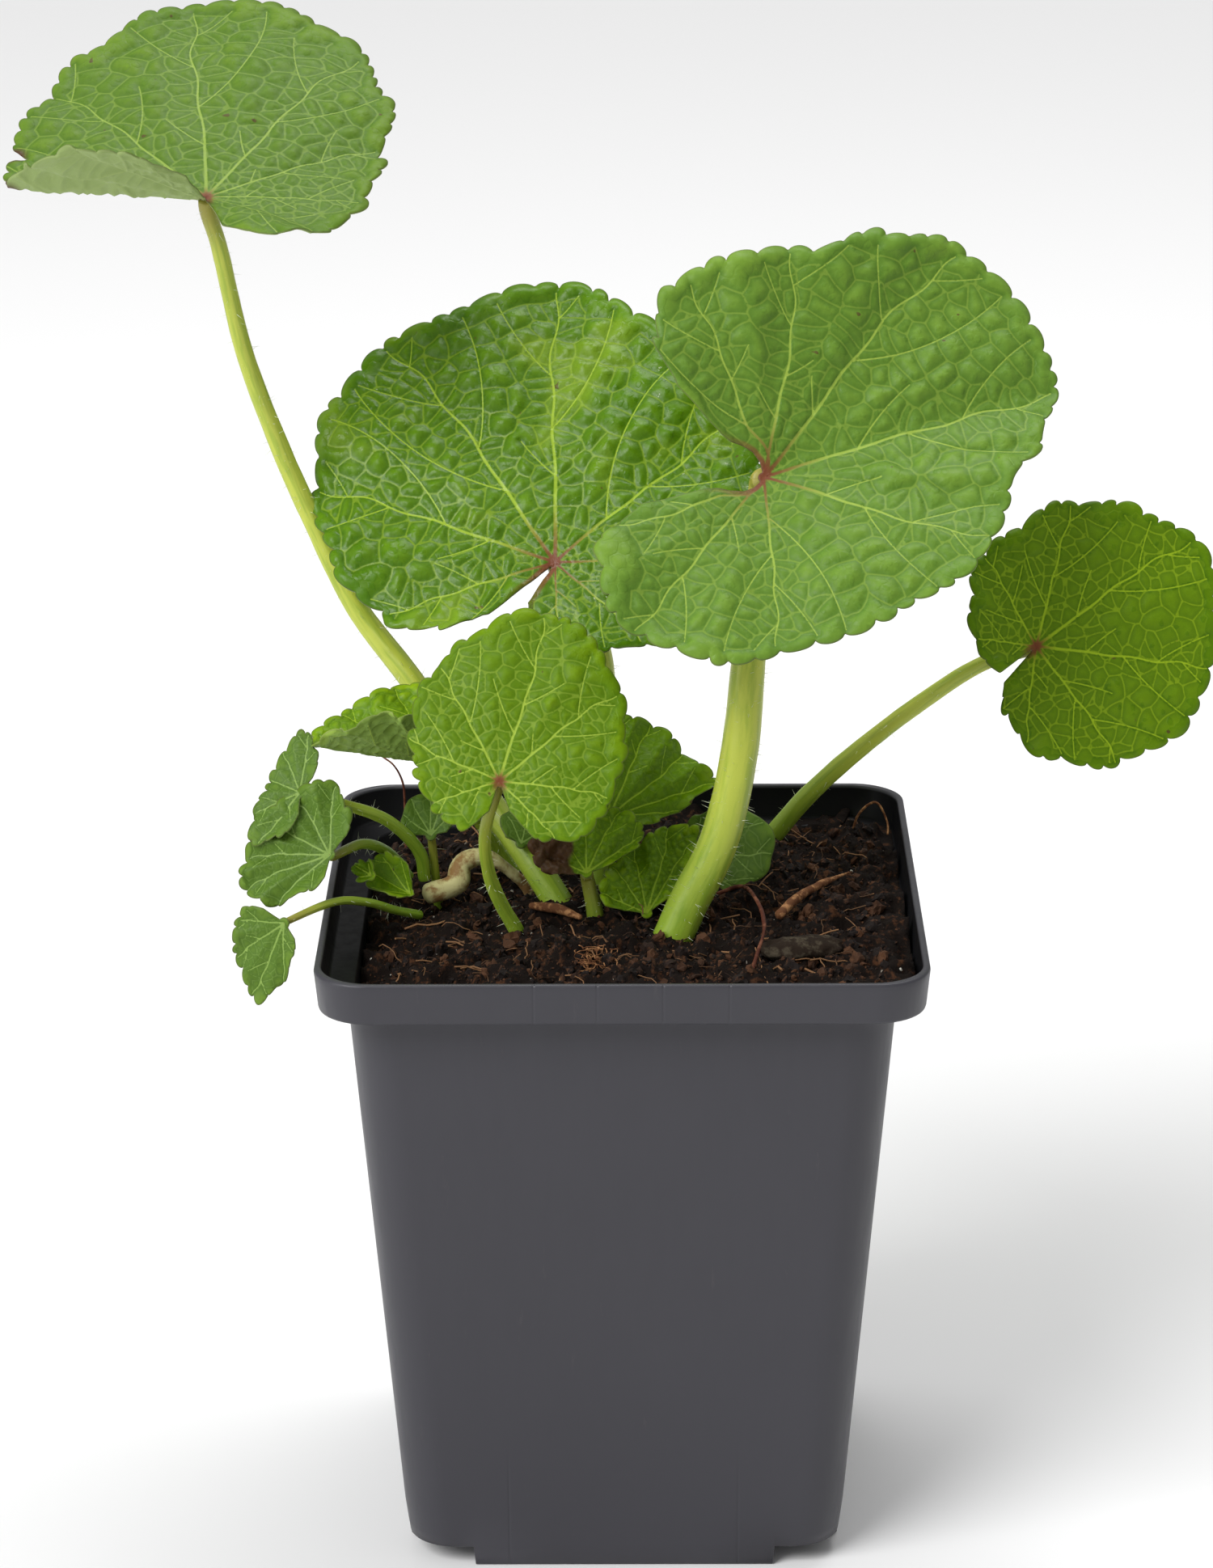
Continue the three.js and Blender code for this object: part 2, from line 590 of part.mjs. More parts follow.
const SLIVERS_AND_ROOTS = [
  {
    name: "bark_sliver", radii: [1.1, 1, 0.6, 0.5], steps: 8,
    points: [[23.8, -11.1, 98.2], [26.5, -5.9, 98.9], [30.3, -0.6, 99.2], [34.9, 5.2, 99]],
  },
  {
    name: "wood_sliver", radii: [0.5, 0.8, 0.5], steps: 6,
    points: [[-13.8, -6.2, 97.9], [-9.8, -8.6, 98.3], [-6.4, -11.6, 98]],
  },
  {
    name: "root_arch", radii: [0.45, 0.45], steps: 16,
    points: [
      [14.6, -2.4, 98.4], [17.9, -4.1, 100.2], [20.3, -12.6, 101], [21.1, -23.3, 100.6],
      [19.8, -31.3, 99.4], [18.6, -36, 97.4],
    ],
  },
  {
    name: "root_upright", radii: [0.35, 0.3], steps: 12,
    points: [
      [-34.6, 30, 90], [-34.6, 30, 99.8], [-34.9, 30, 105.4], [-36.3, 30, 108.3], [-38, 30, 109.7],
    ],
  },
  {
    name: "root_loop", radii: [0.35, 0.35], steps: 12,
    points: [
      [36.2, 29.7, 92], [37.4, 30.3, 99.5], [40.2, 30.1, 101.8], [42, 28.6, 99], [42, 26.8, 97.6],
    ],
  },
];

const THIN_SIDES = 6;
SLIVERS_AND_ROOTS.forEach(({ name, radii, steps, points }) => {
  add(name, aboveSoil(stem(points, radii, steps, THIN_SIDES)), "bark");
});

export default plant;
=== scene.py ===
"""A young hollyhock in a square nursery pot: the finish of every surface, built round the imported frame."""

import math

import bpy
import numpy as np
from mathutils import Matrix, Vector, kdtree
from mathutils.geometry import delaunay_2d_cdt


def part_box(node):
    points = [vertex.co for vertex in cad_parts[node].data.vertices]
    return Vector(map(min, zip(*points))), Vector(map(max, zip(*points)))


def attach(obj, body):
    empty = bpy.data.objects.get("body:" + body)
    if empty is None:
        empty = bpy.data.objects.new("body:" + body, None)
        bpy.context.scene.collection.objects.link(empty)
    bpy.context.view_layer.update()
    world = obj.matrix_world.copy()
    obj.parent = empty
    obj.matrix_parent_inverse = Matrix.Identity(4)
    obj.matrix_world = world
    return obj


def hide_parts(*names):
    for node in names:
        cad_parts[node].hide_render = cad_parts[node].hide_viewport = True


bl_info = {
    "name": "Potted Hollyhock",
    "version": (1, 0, 0),
    "blender": (4, 5, 0),
    "location": "View3D > Sidebar > Hollyhock",
    "description": "Builds leaves, stalks, soil and pot round a packed frame",
    "category": "Add Mesh",
}

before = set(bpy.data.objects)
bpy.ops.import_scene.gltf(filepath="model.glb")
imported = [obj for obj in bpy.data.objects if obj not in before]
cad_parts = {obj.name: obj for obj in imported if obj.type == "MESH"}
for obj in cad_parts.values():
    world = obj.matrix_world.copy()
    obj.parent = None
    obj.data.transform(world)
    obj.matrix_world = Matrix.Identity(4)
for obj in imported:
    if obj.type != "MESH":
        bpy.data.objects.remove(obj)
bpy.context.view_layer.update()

MM = 0.001
BODY = "root"

HUB = 0.9  # radius of the little disc of a blade where its stalk joins
LINE_STEP = 0.42  # distance between the points of a vein
RIM_REACH = 0.97  # share of a blade's radius that the net of veins fills
SOIL_HALF, SOIL_CORNER = 43.1, 6.2  # half width of the soil's top, and the radius of its corners
LEDGE, LEDGE_INNER = 94.6, 39.2  # height of the ledge inside the pot's collar, and where it starts
FOOT_START, FOOT_END = 22.75, 23.05  # distances from the middle where the foot steps up to its corners
FOOT_STEP = 3.0  # height of that step
HOLE_AT, HOLE_RADIUS, HOLE_SIDES = 28.0, 2.6, 24  # drain holes in the raised corners
FLOOR_THICKNESS = 1.2
POT_HEIGHT = 100


# ---------------------------------------------------------------- settings

def colour(name, default, description):
    return bpy.props.FloatVectorProperty(
        name=name, description=description, subtype="COLOR", size=4, min=0, max=1, default=(*default, 1.0)
    )


def length_mm(name, default, description):
    return bpy.props.FloatProperty(
        name=name, description=description, default=default * MM, min=0, precision=5,
        subtype="DISTANCE", unit="LENGTH",
    )


class HOLLYHOCK_PG_leaf(bpy.types.PropertyGroup):
    thickness: length_mm("Thickness", 0.42, "Thickness of a full-grown blade")
    tooth_width: length_mm("Tooth width", 4.3, "Width of one rounded tooth of the margin")
    tooth_depth: length_mm("Tooth depth", 1.3, "Depth of the notch between two teeth")
    mesh_step: length_mm("Mesh step", 0.62, "Distance between points inside a blade")
    vein: colour("Vein", (0.46, 0.56, 0.16), "Colour of the veins")
    joint: colour("Joint", (0.17, 0.05, 0.022), "Colour of the veins where the stalk joins")
    margin: colour("Margin", (0.10, 0.075, 0.05), "Colour of the thin line along the margin")


class HOLLYHOCK_PG_stalk(bpy.types.PropertyGroup):
    sides: bpy.props.IntProperty(name="Sides", description="Points round a stalk", default=20, min=6)
    base: colour("Base", (0.27, 0.43, 0.03), "Colour of a stalk near the soil")
    middle: colour("Middle", (0.5, 0.56, 0.07), "Colour of a stalk along its middle")
    hair_length: length_mm("Hair length", 1.5, "Length of the hairs on a stalk")


class HOLLYHOCK_PG_soil(bpy.types.PropertyGroup):
    peat: colour("Peat", (0.0062, 0.0032, 0.002), "Darkest colour of the peat")
    coir: colour("Coir", (0.06, 0.024, 0.01), "Colour of the fibrous bits in the peat")
    mesh_step: length_mm("Mesh step", 0.46, "Distance between points of the soil's surface")


class HOLLYHOCK_PG_pot(bpy.types.PropertyGroup):
    plastic: colour("Plastic", (0.0385, 0.0375, 0.0455), "Colour of the pot's plastic")
    rim_half: length_mm("Rim half width", 45, "Half the width of the rim")
    neck_half: length_mm("Neck half width", 40.4, "Half the width of the body under the collar")
    base_half: length_mm("Base half width", 33, "Half the width of the body at the bottom")
    collar: length_mm("Collar height", 6.4, "Height of the collar")
    wall: length_mm("Wall", 1, "Thickness of the wall")


PG = (HOLLYHOCK_PG_leaf, HOLLYHOCK_PG_stalk, HOLLYHOCK_PG_soil, HOLLYHOCK_PG_pot)


def settings(kind):
    return getattr(bpy.context.scene, "hollyhock_" + kind)


def lengths(kind):
    """The sizes among a group's settings, in millimetres."""
    group = settings(kind)
    kinds = group.bl_rna.properties
    return {key: getattr(group, key) / MM for key in kinds.keys() if kinds[key].subtype == "DISTANCE"}


# ---------------------------------------------------------------- the plant's own numbers, in millimetres
# A rib is (angle to the left of the tip, length, lift at the joint, droop over its length).
# A blade leans forwards by tilt, is turned about the vertical, and spins in its own plane.

LEAVES = {
    "leaf_high_left": dict(
        turn=0, tilt=24, spin=0, finish="satin_leaf", cell=6.4, relief=1.25,
        veins=(-120, -88, -60, -30, 3, 41, 82, 118), wave=0.5, pleat=0.7,
        scorch=((68, 0.95, 3.0), (86, 0.95, 3.6)), notches=((68, 3.2, 3.0), (79, 12, 2.2), (98, 14, 1.4)), slender=0.78,
        ribs=(
            (-160, 9, 5, 0), (-130, 18, 8, 0), (-110, 21, 2, 5), (-85, 23.5, 0, 5), (-63, 29, 0, 8),
            (-43, 38, 2, 10), (-22, 47.5, 3, 10), (-6, 52, 3, 8), (11, 52, 3, 8), (28, 45, 3, 10),
            (47, 38, 2, 10), (62, 35, 0, 8), (78, 33, 0, 4), (88, 31, 2, 0), (100, 28, 18, 0),
            (115, 25, 38, 0), (135, 21, 45, 0), (158, 10, 50, 0),
        ),
    ),
    "leaf_centre": dict(
        turn=-8, tilt=48, spin=0, finish="glossy_leaf", cell=6.0, relief=1.7,
        veins=(-172, -130, -88, -43, 4, 38, 74, 112), wave=0.9, pleat=1.2,
        ribs=(
            (-206, 8, 0, 0), (-190, 13, 0, 0), (-165, 16, 2, 5), (-140, 17.5, 2, 8), (-115, 24, 3, 10),
            (-90, 30, 4, 12), (-63, 34, 4, 12), (-38, 40, 4, 12), (-16, 43, 4, 12), (4, 49, 4, 12),
            (26, 47, 4, 12), (40, 49, 4, 12), (55, 46, 4, 12), (73, 41, 4, 12), (93, 34, 4, 12),
            (114, 27, 4, 8), (128, 21, 3, 5), (137, 14, 2, 0),
        ),
    ),
    "leaf_large_right": dict(
        turn=8, tilt=56, spin=-75, finish="satin_leaf", bare=34, cell=6.2, relief=1.3,
        veins=(-176, -146, -108, -40, 0, 33, 62, 94), wave=0.8, pleat=1.0,
        ribs=(
            (-183, 20, 12, 8), (-170, 30, 14, 10), (-151, 35, 16, 12), (-127, 33, 18, 10), (-100, 30, 20, 8),
            (-71, 32, 22, 8), (-45, 36, 20, 8), (-22, 37, 12, 8), (-10, 43, 6, 10), (3, 50, 2, 12),
            (20, 51, 2, 14), (33, 49.5, 4, 14), (45, 43, 8, 14), (60, 36, 12, 14), (80, 33, 16, 12),
            (100, 31.5, 16, 10), (112, 26, 14, 6), (119, 19, 12, 0),
        ),
    ),
    "leaf_front": dict(
        turn=0, tilt=55, spin=-12, finish="satin_leaf", cell=4.8, relief=1.0,
        veins=(-124, -86, -40, -4, 37, 76, 120), wave=0.4, pleat=0.6,
        ribs=(
            (-150, 5, 0, 0), (-132, 11, 2, 5), (-110, 15, 4, 8), (-86, 16.5, 5, 10), (-60, 19, 5, 12),
            (-37, 22.5, 5, 12), (-9, 27, 5, 12), (1, 27, 5, 12), (24, 22.5, 5, 12), (45, 19.5, 5, 12),
            (70, 16, 4, 12), (92, 13, 4, 10), (120, 11, 3, 8), (154, 9.5, 0, 5), (175, 5, 0, 0),
        ),
    ),
    "leaf_low_right": dict(
        turn=10, tilt=66, spin=-48, finish="olive_leaf", cell=5.0, relief=0.6,
        veins=(-142, -100, -52, -11, 29, 76, 130), wave=0.4, pleat=0.4,
        ribs=(
            (-178, 8, -4, 0), (-160, 12, -2, 2), (-129, 17.5, 2, 5), (-100, 22.5, 4, 10), (-70, 27, 5, 12),
            (-40, 29, 5, 12), (-16, 31.5, 5, 12), (5, 28, 5, 12), (30, 23.5, 5, 12), (57, 18, 5, 10),
            (80, 16, 6, 8), (105, 12, 8, 4), (140, 9.5, 10, 0), (170, 8, 12, 0),
        ),
    ),
    "leaf_folded_left": dict(
        turn=0, tilt=12, spin=90, finish="young_leaf", cell=3.2, relief=0.9,
        veins=(-100, -62, -30, -4, 26, 58, 96), wave=0.5, pleat=0.8,
        ribs=(
            (-130, 6, 25, 0), (-90, 14, 25, 4), (-60, 15.5, 24, 6), (-30, 17.5, 15, 8), (-10, 19, 8, 6),
            (5, 18.5, 10, 4), (25, 17, 30, 0), (50, 15, 50, 0), (90, 12, 66, 0), (130, 6, 66, 0),
        ),
    ),
    "young_leaf_pleated": dict(
        turn=12, tilt=55, spin=-40, finish="young_leaf", cell=2.8, relief=0.85,
        veins=(-50, -36, -14, 8, 28, 48), wave=0.4, pleat=1.7,
        ribs=(
            (-75, 5, 8, 0), (-57, 8, 8, 0), (-46, 13, 6, 2), (-36, 18.5, 5, 6), (-17, 16.2, 6, 8),
            (9, 16.8, 8, 8), (26, 16.6, 8, 8), (45, 11.5, 8, 5), (65, 7, 8, 0),
        ),
    ),
    "young_leaf_withered": dict(
        turn=0, tilt=50, spin=0, finish="young_leaf", cell=2.4, relief=1.1,
        veins=(-56, -26, 4, 36, 70), wave=1.1, pleat=1.3, withered=52,
        ribs=(
            (-78, 4.5, 5, 0), (-66, 9, 6, 5), (-50, 11.6, 8, 8), (-30, 12, 8, 8), (-10, 10.5, 8, 8),
            (15, 9.6, 8, 8), (45, 8.8, 8, 8), (65, 9.2, 6, 8), (82, 7.6, 5, 5), (105, 4.4, 0, 0),
        ),
    ),
    "young_leaf_basal": dict(
        turn=4, tilt=52, spin=-20, finish="young_leaf", cell=2.2, relief=1.2,
        veins=(-16, 4, 28, 56, 84), wave=1.2, pleat=1.4,
        ribs=(
            (-40, 5, 4, 0), (-22, 10, 4, 2), (-12, 16, 4, 6), (1, 14.8, 5, 6), (24, 11.2, 6, 6),
            (50, 9.2, 6, 6), (78, 7.8, 6, 4), (104, 6.4, 4, 0),
        ),
    ),
    "seed_leaf_left": dict(
        turn=0, tilt=60, spin=4, finish="grey_leaf", cell=4, relief=0.08, seed_leaf=True,
        veins=(-50, -25, 0, 25, 50), wave=0.1, pleat=0.15,
        ribs=(
            (-85, 2.6, 8, 0), (-50, 5.2, 8, 6), (-8, 6.6, 6, 8), (20, 6.6, 6, 8), (58, 5.2, 8, 6),
            (88, 3, 8, 0),
        ),
    ),
    "seed_leaf_behind": dict(
        turn=10, tilt=50, spin=-20, finish="grey_leaf", cell=4, relief=0.08, seed_leaf=True,
        veins=(-40, 0, 40), wave=0.1, pleat=0.1,
        ribs=((-85, 2.6, 4, 0), (-45, 5.4, 4, 6), (0, 6.6, 4, 8), (45, 5.4, 4, 6), (85, 2.6, 4, 0)),
    ),
    "seed_leaf_right": dict(
        turn=-6, tilt=64, spin=-62, finish="grey_leaf", cell=5, relief=0.08, seed_leaf=True,
        veins=(-60, -20, 18, 50), wave=0.2, pleat=0.15,
        ribs=(
            (-100, 4, 0, 0), (-65, 8, 2, 4), (-30, 12.5, 2, 8), (-10, 13.6, 2, 8), (20, 11.5, 2, 8),
            (55, 7, 2, 4), (85, 3.6, 0, 0),
        ),
    ),
    "seedling_leaf_upper": dict(
        turn=-20, tilt=50, spin=45, finish="grey_leaf", cell=3, relief=0.3,
        veins=(-40, -10, 30, 80, 108), wave=0.2, pleat=0.5,
        ribs=(
            (-80, 3.4, 0, 0), (-55, 6.8, 2, 0), (-36, 9.6, 4, 0), (-15, 7.6, 4, 5), (10, 6, 4, 8),
            (50, 5.6, 4, 8), (80, 7.6, 4, 5), (103, 10.6, 2, 4), (124, 7.6, 0, 0), (150, 4, 0, 0),
        ),
    ),
    "seedling_leaf_pleated": dict(
        turn=-12, tilt=58, spin=82, finish="grey_leaf", cell=3, relief=0.4,
        veins=(-80, -46, -14, 14, 34, 56), wave=0.3, pleat=1.1,
        ribs=(
            (-125, 4, 2, 0), (-100, 7.5, 4, 0), (-75, 11, 4, 6), (-45, 11, 4, 8), (-14, 11.5, 4, 10),
            (10, 12.5, 4, 10), (33, 14, 4, 10), (52, 12, 4, 8), (72, 7, 4, 0), (100, 4, 2, 0),
        ),
    ),
    "seedling_leaf_hanging": dict(
        turn=-20, tilt=84, spin=164, finish="grey_leaf", cell=3, relief=0.3,
        veins=(-70, -34, -6, 14), wave=0.3, pleat=0.6,
        ribs=(
            (-105, 4, 0, 0), (-88, 6.5, 2, 0), (-60, 8, 4, 5), (-26, 10.5, 4, 8), (-2, 13.6, 4, 8),
            (12, 9.5, 4, 8), (35, 5, 4, 0), (60, 3, 2, 0),
        ),
    ),
    "seedling_leaf_cupped": dict(
        turn=-20, tilt=26, spin=80, finish="young_leaf", cell=3, relief=0.2,
        veins=(-50, -20, 5, 35), wave=0.2, pleat=0.3,
        ribs=(
            (-95, 3, 45, -20), (-60, 5.5, 42, -15), (-25, 8, 30, -10), (0, 8.6, 22, -10), (25, 7.5, 22, -10),
            (60, 4.5, 25, -10), (95, 2.6, 25, 0),
        ),
    ),
    "seedling_leaf_frilly": dict(
        turn=-10, tilt=70, spin=60, finish="young_leaf", cell=1.6, relief=0.4,
        veins=(-40, 0, 40), wave=0.6, pleat=0.7,
        ribs=((-90, 1.8, 0, 0), (-45, 2.6, 0, 8), (0, 3.4, 0, 10), (45, 2.8, 0, 8), (90, 1.8, 0, 0)),
    ),
}


# ---------------------------------------------------------------- small helpers

def smooth(low, high, x):
    t = np.clip((np.asarray(x, float) - low) / (high - low), 0, 1)
    return t * t * (3 - 2 * t)


def spread(d, low, high):
    return 1 - smooth(low, high, d)


def rotation(turn, tilt, spin):
    vertical = Matrix.Rotation(math.radians(turn), 3, "Z")
    lean = Matrix.Rotation(math.radians(tilt), 3, "X")
    own = Matrix.Rotation(math.radians(spin), 3, "Z")
    return np.array(vertical @ lean @ own)


def wobble(points, size, seed):
    """Smooth random values in about -1..1 at points of a plane or of space, with lumps of the given size."""
    table = np.random.default_rng(seed).uniform(-1, 1, (32, 32, 32))
    p = np.asarray(points, float) / size
    if p.shape[1] == 2:
        p = np.concatenate([p, np.zeros((len(p), 1))], 1)
    base = np.floor(p).astype(int)
    t = p - base
    t = t * t * (3 - 2 * t)
    total = np.zeros(len(p))
    for dx in (0, 1):
        for dy in (0, 1):
            for dz in (0, 1):
                weight = np.ones(len(p))
                for axis, d in enumerate((dx, dy, dz)):
                    weight = weight * (t[:, axis] if d else 1 - t[:, axis])
                corner = base + (dx, dy, dz)
                total += weight * table[corner[:, 0] % 32, corner[:, 1] % 32, corner[:, 2] % 32]
    return total


def fractal(points, size, octaves, seed, gain=0.55):
    total = np.zeros(len(points))
    for i in range(octaves):
        total += gain**i * wobble(points, size / 2.1**i, seed + i)
    return total


def new_mesh(name, points_mm, faces, attributes=None, smooth_faces=True):
    mesh = bpy.data.meshes.new(name)
    mesh.from_pydata([], [], [])
    points = np.asarray(points_mm, float) * MM
    mesh.vertices.add(len(points))
    mesh.vertices.foreach_set("co", points.astype(np.float32).ravel())
    sizes = np.array([len(f) for f in faces])
    flat = np.concatenate([np.asarray(f) for f in faces]).astype(np.int32)
    mesh.loops.add(len(flat))
    mesh.loops.foreach_set("vertex_index", flat)
    mesh.polygons.add(len(faces))
    starts = np.concatenate([[0], np.cumsum(sizes)[:-1]]).astype(np.int32)
    mesh.polygons.foreach_set("loop_start", starts)
    mesh.polygons.foreach_set("use_smooth", np.full(len(faces), smooth_faces))
    for key, values in (attributes or {}).items():
        layer = mesh.attributes.new(key, "FLOAT", "POINT")
        layer.data.foreach_set("value", np.asarray(values, np.float32))
    mesh.update(calc_edges=True)
    mesh.validate()
    return mesh


def new_piece(name, mesh, slot, *nodes):
    piece = bpy.data.objects.new(name, mesh)
    bpy.context.scene.collection.objects.link(piece)
    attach(piece, BODY)
    if nodes:
        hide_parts(*nodes)
    return piece


def tree_of(points):
    tree = kdtree.KDTree(len(points))
    for i, p in enumerate(points):
        tree.insert((p[0], p[1], 0), i)
    tree.balance()
    return tree


def distances(tree, points):
    return np.array([tree.find((p[0], p[1], 0))[2] for p in points])


def distance_to_lines(lines, points):
    if not lines:
        return np.full(len(points), 99.0)
    return distances(tree_of(np.concatenate([resample(line, 0.1) for line in lines])), points)


# ---------------------------------------------------------------- blade: its surface and its outline

def rib_values(ribs, angle):
    rows = np.array(ribs, float)
    a = np.asarray(angle, float)
    i = np.clip(np.searchsorted(rows[:, 0], a), 1, len(rows) - 1)
    low, high = rows[i - 1], rows[i]
    share = np.clip((a - low[:, 0]) / (high[:, 0] - low[:, 0]), 0, 1)
    weight = ((1 - np.cos(np.pi * share)) / 2)[:, None]
    return (low[:, 1:] * (1 - weight) + high[:, 1:] * weight).T


def bent(ribs, angle, run):
    """The bent surface of a blade, from an angle and a distance along its flat rib."""
    length, lift, droop = rib_values(ribs, angle)
    bend = np.radians(droop) * run / length
    safe = np.where(np.abs(bend) < 1e-4, 1.0, bend)
    chord = np.where(np.abs(bend) < 1e-4, run, 2 * run * np.sin(safe / 2) / safe)
    slope = np.radians(lift) - bend / 2
    turn = np.radians(angle)
    out = chord * np.cos(slope)
    return np.stack([-out * np.sin(turn), out * np.cos(turn), chord * np.sin(slope)], 1)


def polar(spec, flat):
    """Angle in degrees and run of flat points, with the cut of the angle in the notch at the joint."""
    middle = (spec["ribs"][0][0] + spec["ribs"][-1][0]) / 2
    angle = np.degrees(np.arctan2(-flat[:, 0], flat[:, 1]))
    return (angle - middle + 180) % 360 - 180 + middle, np.hypot(flat[:, 0], flat[:, 1])


def flat_point(angle, run):
    turn = np.radians(angle)
    return np.stack([-np.sin(turn) * run, np.cos(turn) * run], -1)


def retreat(spec, run):
    """Degrees by which the two edges that face each other across the notch draw back near the joint."""
    return spec.get("bare", 0) * spread(run, 1.5, 8.5)


def outline(spec, tooth, depth, rng):
    """The margin in the flat, with rounded teeth, anticlockwise, starting and ending at the joint."""
    ribs = spec["ribs"]
    first, last = ribs[0][0], ribs[-1][0]
    angles = np.linspace(first, last, 900)
    radii = rib_values(ribs, angles)[0]
    steps = np.hypot(np.diff(radii), np.radians(np.diff(angles)) * (radii[1:] + radii[:-1]) / 2)
    arc = np.concatenate([[0], np.cumsum(steps)])
    marks = [0.0]
    while marks[-1] < arc[-1]:
        marks.append(marks[-1] + tooth * rng.uniform(0.6, 1.4))
    marks = np.array(marks) * arc[-1] / marks[-1]
    which = np.clip(np.searchsorted(marks, arc) - 1, 0, len(marks) - 2)
    within = (arc - marks[which]) / (marks[which + 1] - marks[which])
    size = rng.uniform(0.7, 1.25, len(marks))[which]
    round_tooth = np.sqrt(np.clip(1 - (2 * within - 1) ** 2, 0, 1))
    full = smooth(0.12, 0.45, radii / radii.max())
    radii = radii + depth * size * full * (round_tooth - 0.66)
    swell = wobble(np.column_stack([arc / (3.1 * tooth), np.full(len(arc), rng.uniform(0, 30))]), 1.0, 3)
    radii += 0.7 * depth * swell * full
    for at, width, deep in spec.get("notches", ()):
        radii -= deep * np.exp(-(((angles - at) / width) ** 2))
    margin = flat_point(angles, radii)
    edge_in = np.linspace(1, 0, 12)[1:-1]
    first_run = HUB + (radii[0] - HUB) * edge_in[::-1]
    last_run = HUB + (radii[-1] - HUB) * edge_in
    start = flat_point(first + retreat(spec, first_run), first_run)
    end = flat_point(last - retreat(spec, last_run), last_run)
    back = retreat(spec, np.array([HUB]))[0]
    hub_angles = np.linspace(last - back, first + 360 + back, 7)
    hub_arc = flat_point(hub_angles, np.full(7, HUB))
    loop = np.concatenate([start, margin, end, hub_arc])
    step = np.hypot(*(np.roll(loop, -1, 0) - loop).T)
    cut = np.concatenate([[0], np.cumsum(step)])
    count = int(cut[-1] / 0.3)
    targets = np.linspace(0, cut[-1], count, endpoint=False)
    closed = np.vstack([loop, loop[:1]])
    return np.stack([np.interp(targets, cut, closed[:, 0]), np.interp(targets, cut, closed[:, 1])], 1)


# ---------------------------------------------------------------- blade: its net of veins

def main_veins(spec, rng):
    """Main veins from the joint to the margin, each with forks, as (line, half width at each point)."""
    lines = []
    veins = spec["veins"]
    for number, angle in enumerate(veins):
        reach = rib_values(spec["ribs"], [angle])[0][0]
        swing = rng.uniform(-5, 5)
        share = np.linspace(0, 0.97, max(8, int(reach / LINE_STEP)))
        bow = swing * np.sin(share * math.pi * rng.uniform(0.8, 1.3)) + 0.8 * np.sin(share * 23 + number)
        bow = bow * share**0.5
        if "bare" in spec and number in (0, len(veins) - 1):
            side = 1 if number == 0 else -1
            runs = share * reach
            bow = bow + side * (retreat(spec, runs) + np.degrees(0.5 / np.maximum(runs, 1.2)) * 0.5)
        line = flat_point(angle + bow, share * reach)
        width = (0.07 + (0.03 + reach * 0.0052) * (1 - share) ** 0.9) * spec.get("slender", 1)
        lines.append((line, width))
        if reach < 7:
            continue
        sides = [1, -1]
        near = {
            1: (veins[number + 1] - angle) / 2 if number + 1 < len(veins) else 26,
            -1: (angle - veins[number - 1]) / 2 if number else 26,
        }
        forks = np.arange(0.28, 0.93, 0.19 if reach > 14 else 0.24)
        for turn, fork in enumerate(forks + rng.uniform(-0.03, 0.03, len(forks))):
            side = sides[turn % 2]
            at = int(fork / 0.97 * (len(share) - 1))
            heading = angle + bow[at] + side * rng.uniform(40, 50)
            point = line[at].copy()
            branch = [point.copy()]
            for _ in range(90):
                point = point + LINE_STEP * flat_point(heading, 1.0)
                heading -= side * 0.62
                here = np.degrees(np.arctan2(-point[0], point[1]))
                away = (here - angle + 180) % 360 - 180
                run = np.hypot(*point)
                ribs = spec["ribs"]
                limit = rib_values(ribs, [np.clip(angle + away, ribs[0][0], ribs[-1][0])])[0][0]
                if run > 0.965 * limit or side * away > near[side] * 0.94:
                    break
                branch.append(point.copy())
            if len(branch) > 5:
                branch = np.array(branch)
                thin = 0.05 + width[at] * 0.32 * np.linspace(1, 0.25, len(branch))
                lines.append((branch, thin))
    return lines


def resample(line, step):
    run = np.concatenate([[0], np.cumsum(np.hypot(*np.diff(line, axis=0).T))])
    count = max(2, int(round(run[-1] / step)) + 1)
    at = np.linspace(0, run[-1], count)
    return np.stack([np.interp(at, run, line[:, 0]), np.interp(at, run, line[:, 1])], 1)


def across(line):
    heading = np.gradient(line, axis=0)
    heading /= np.maximum(np.linalg.norm(heading, axis=1, keepdims=True), 1e-9)
    return np.stack([-heading[:, 1], heading[:, 0]], 1)


def inside(spec, flat, share):
    angle, run = polar(spec, flat)
    within = (angle > spec["ribs"][0][0] + 2) & (angle < spec["ribs"][-1][0] - 2)
    return within & (run < share * rib_values(spec["ribs"], angle)[0])


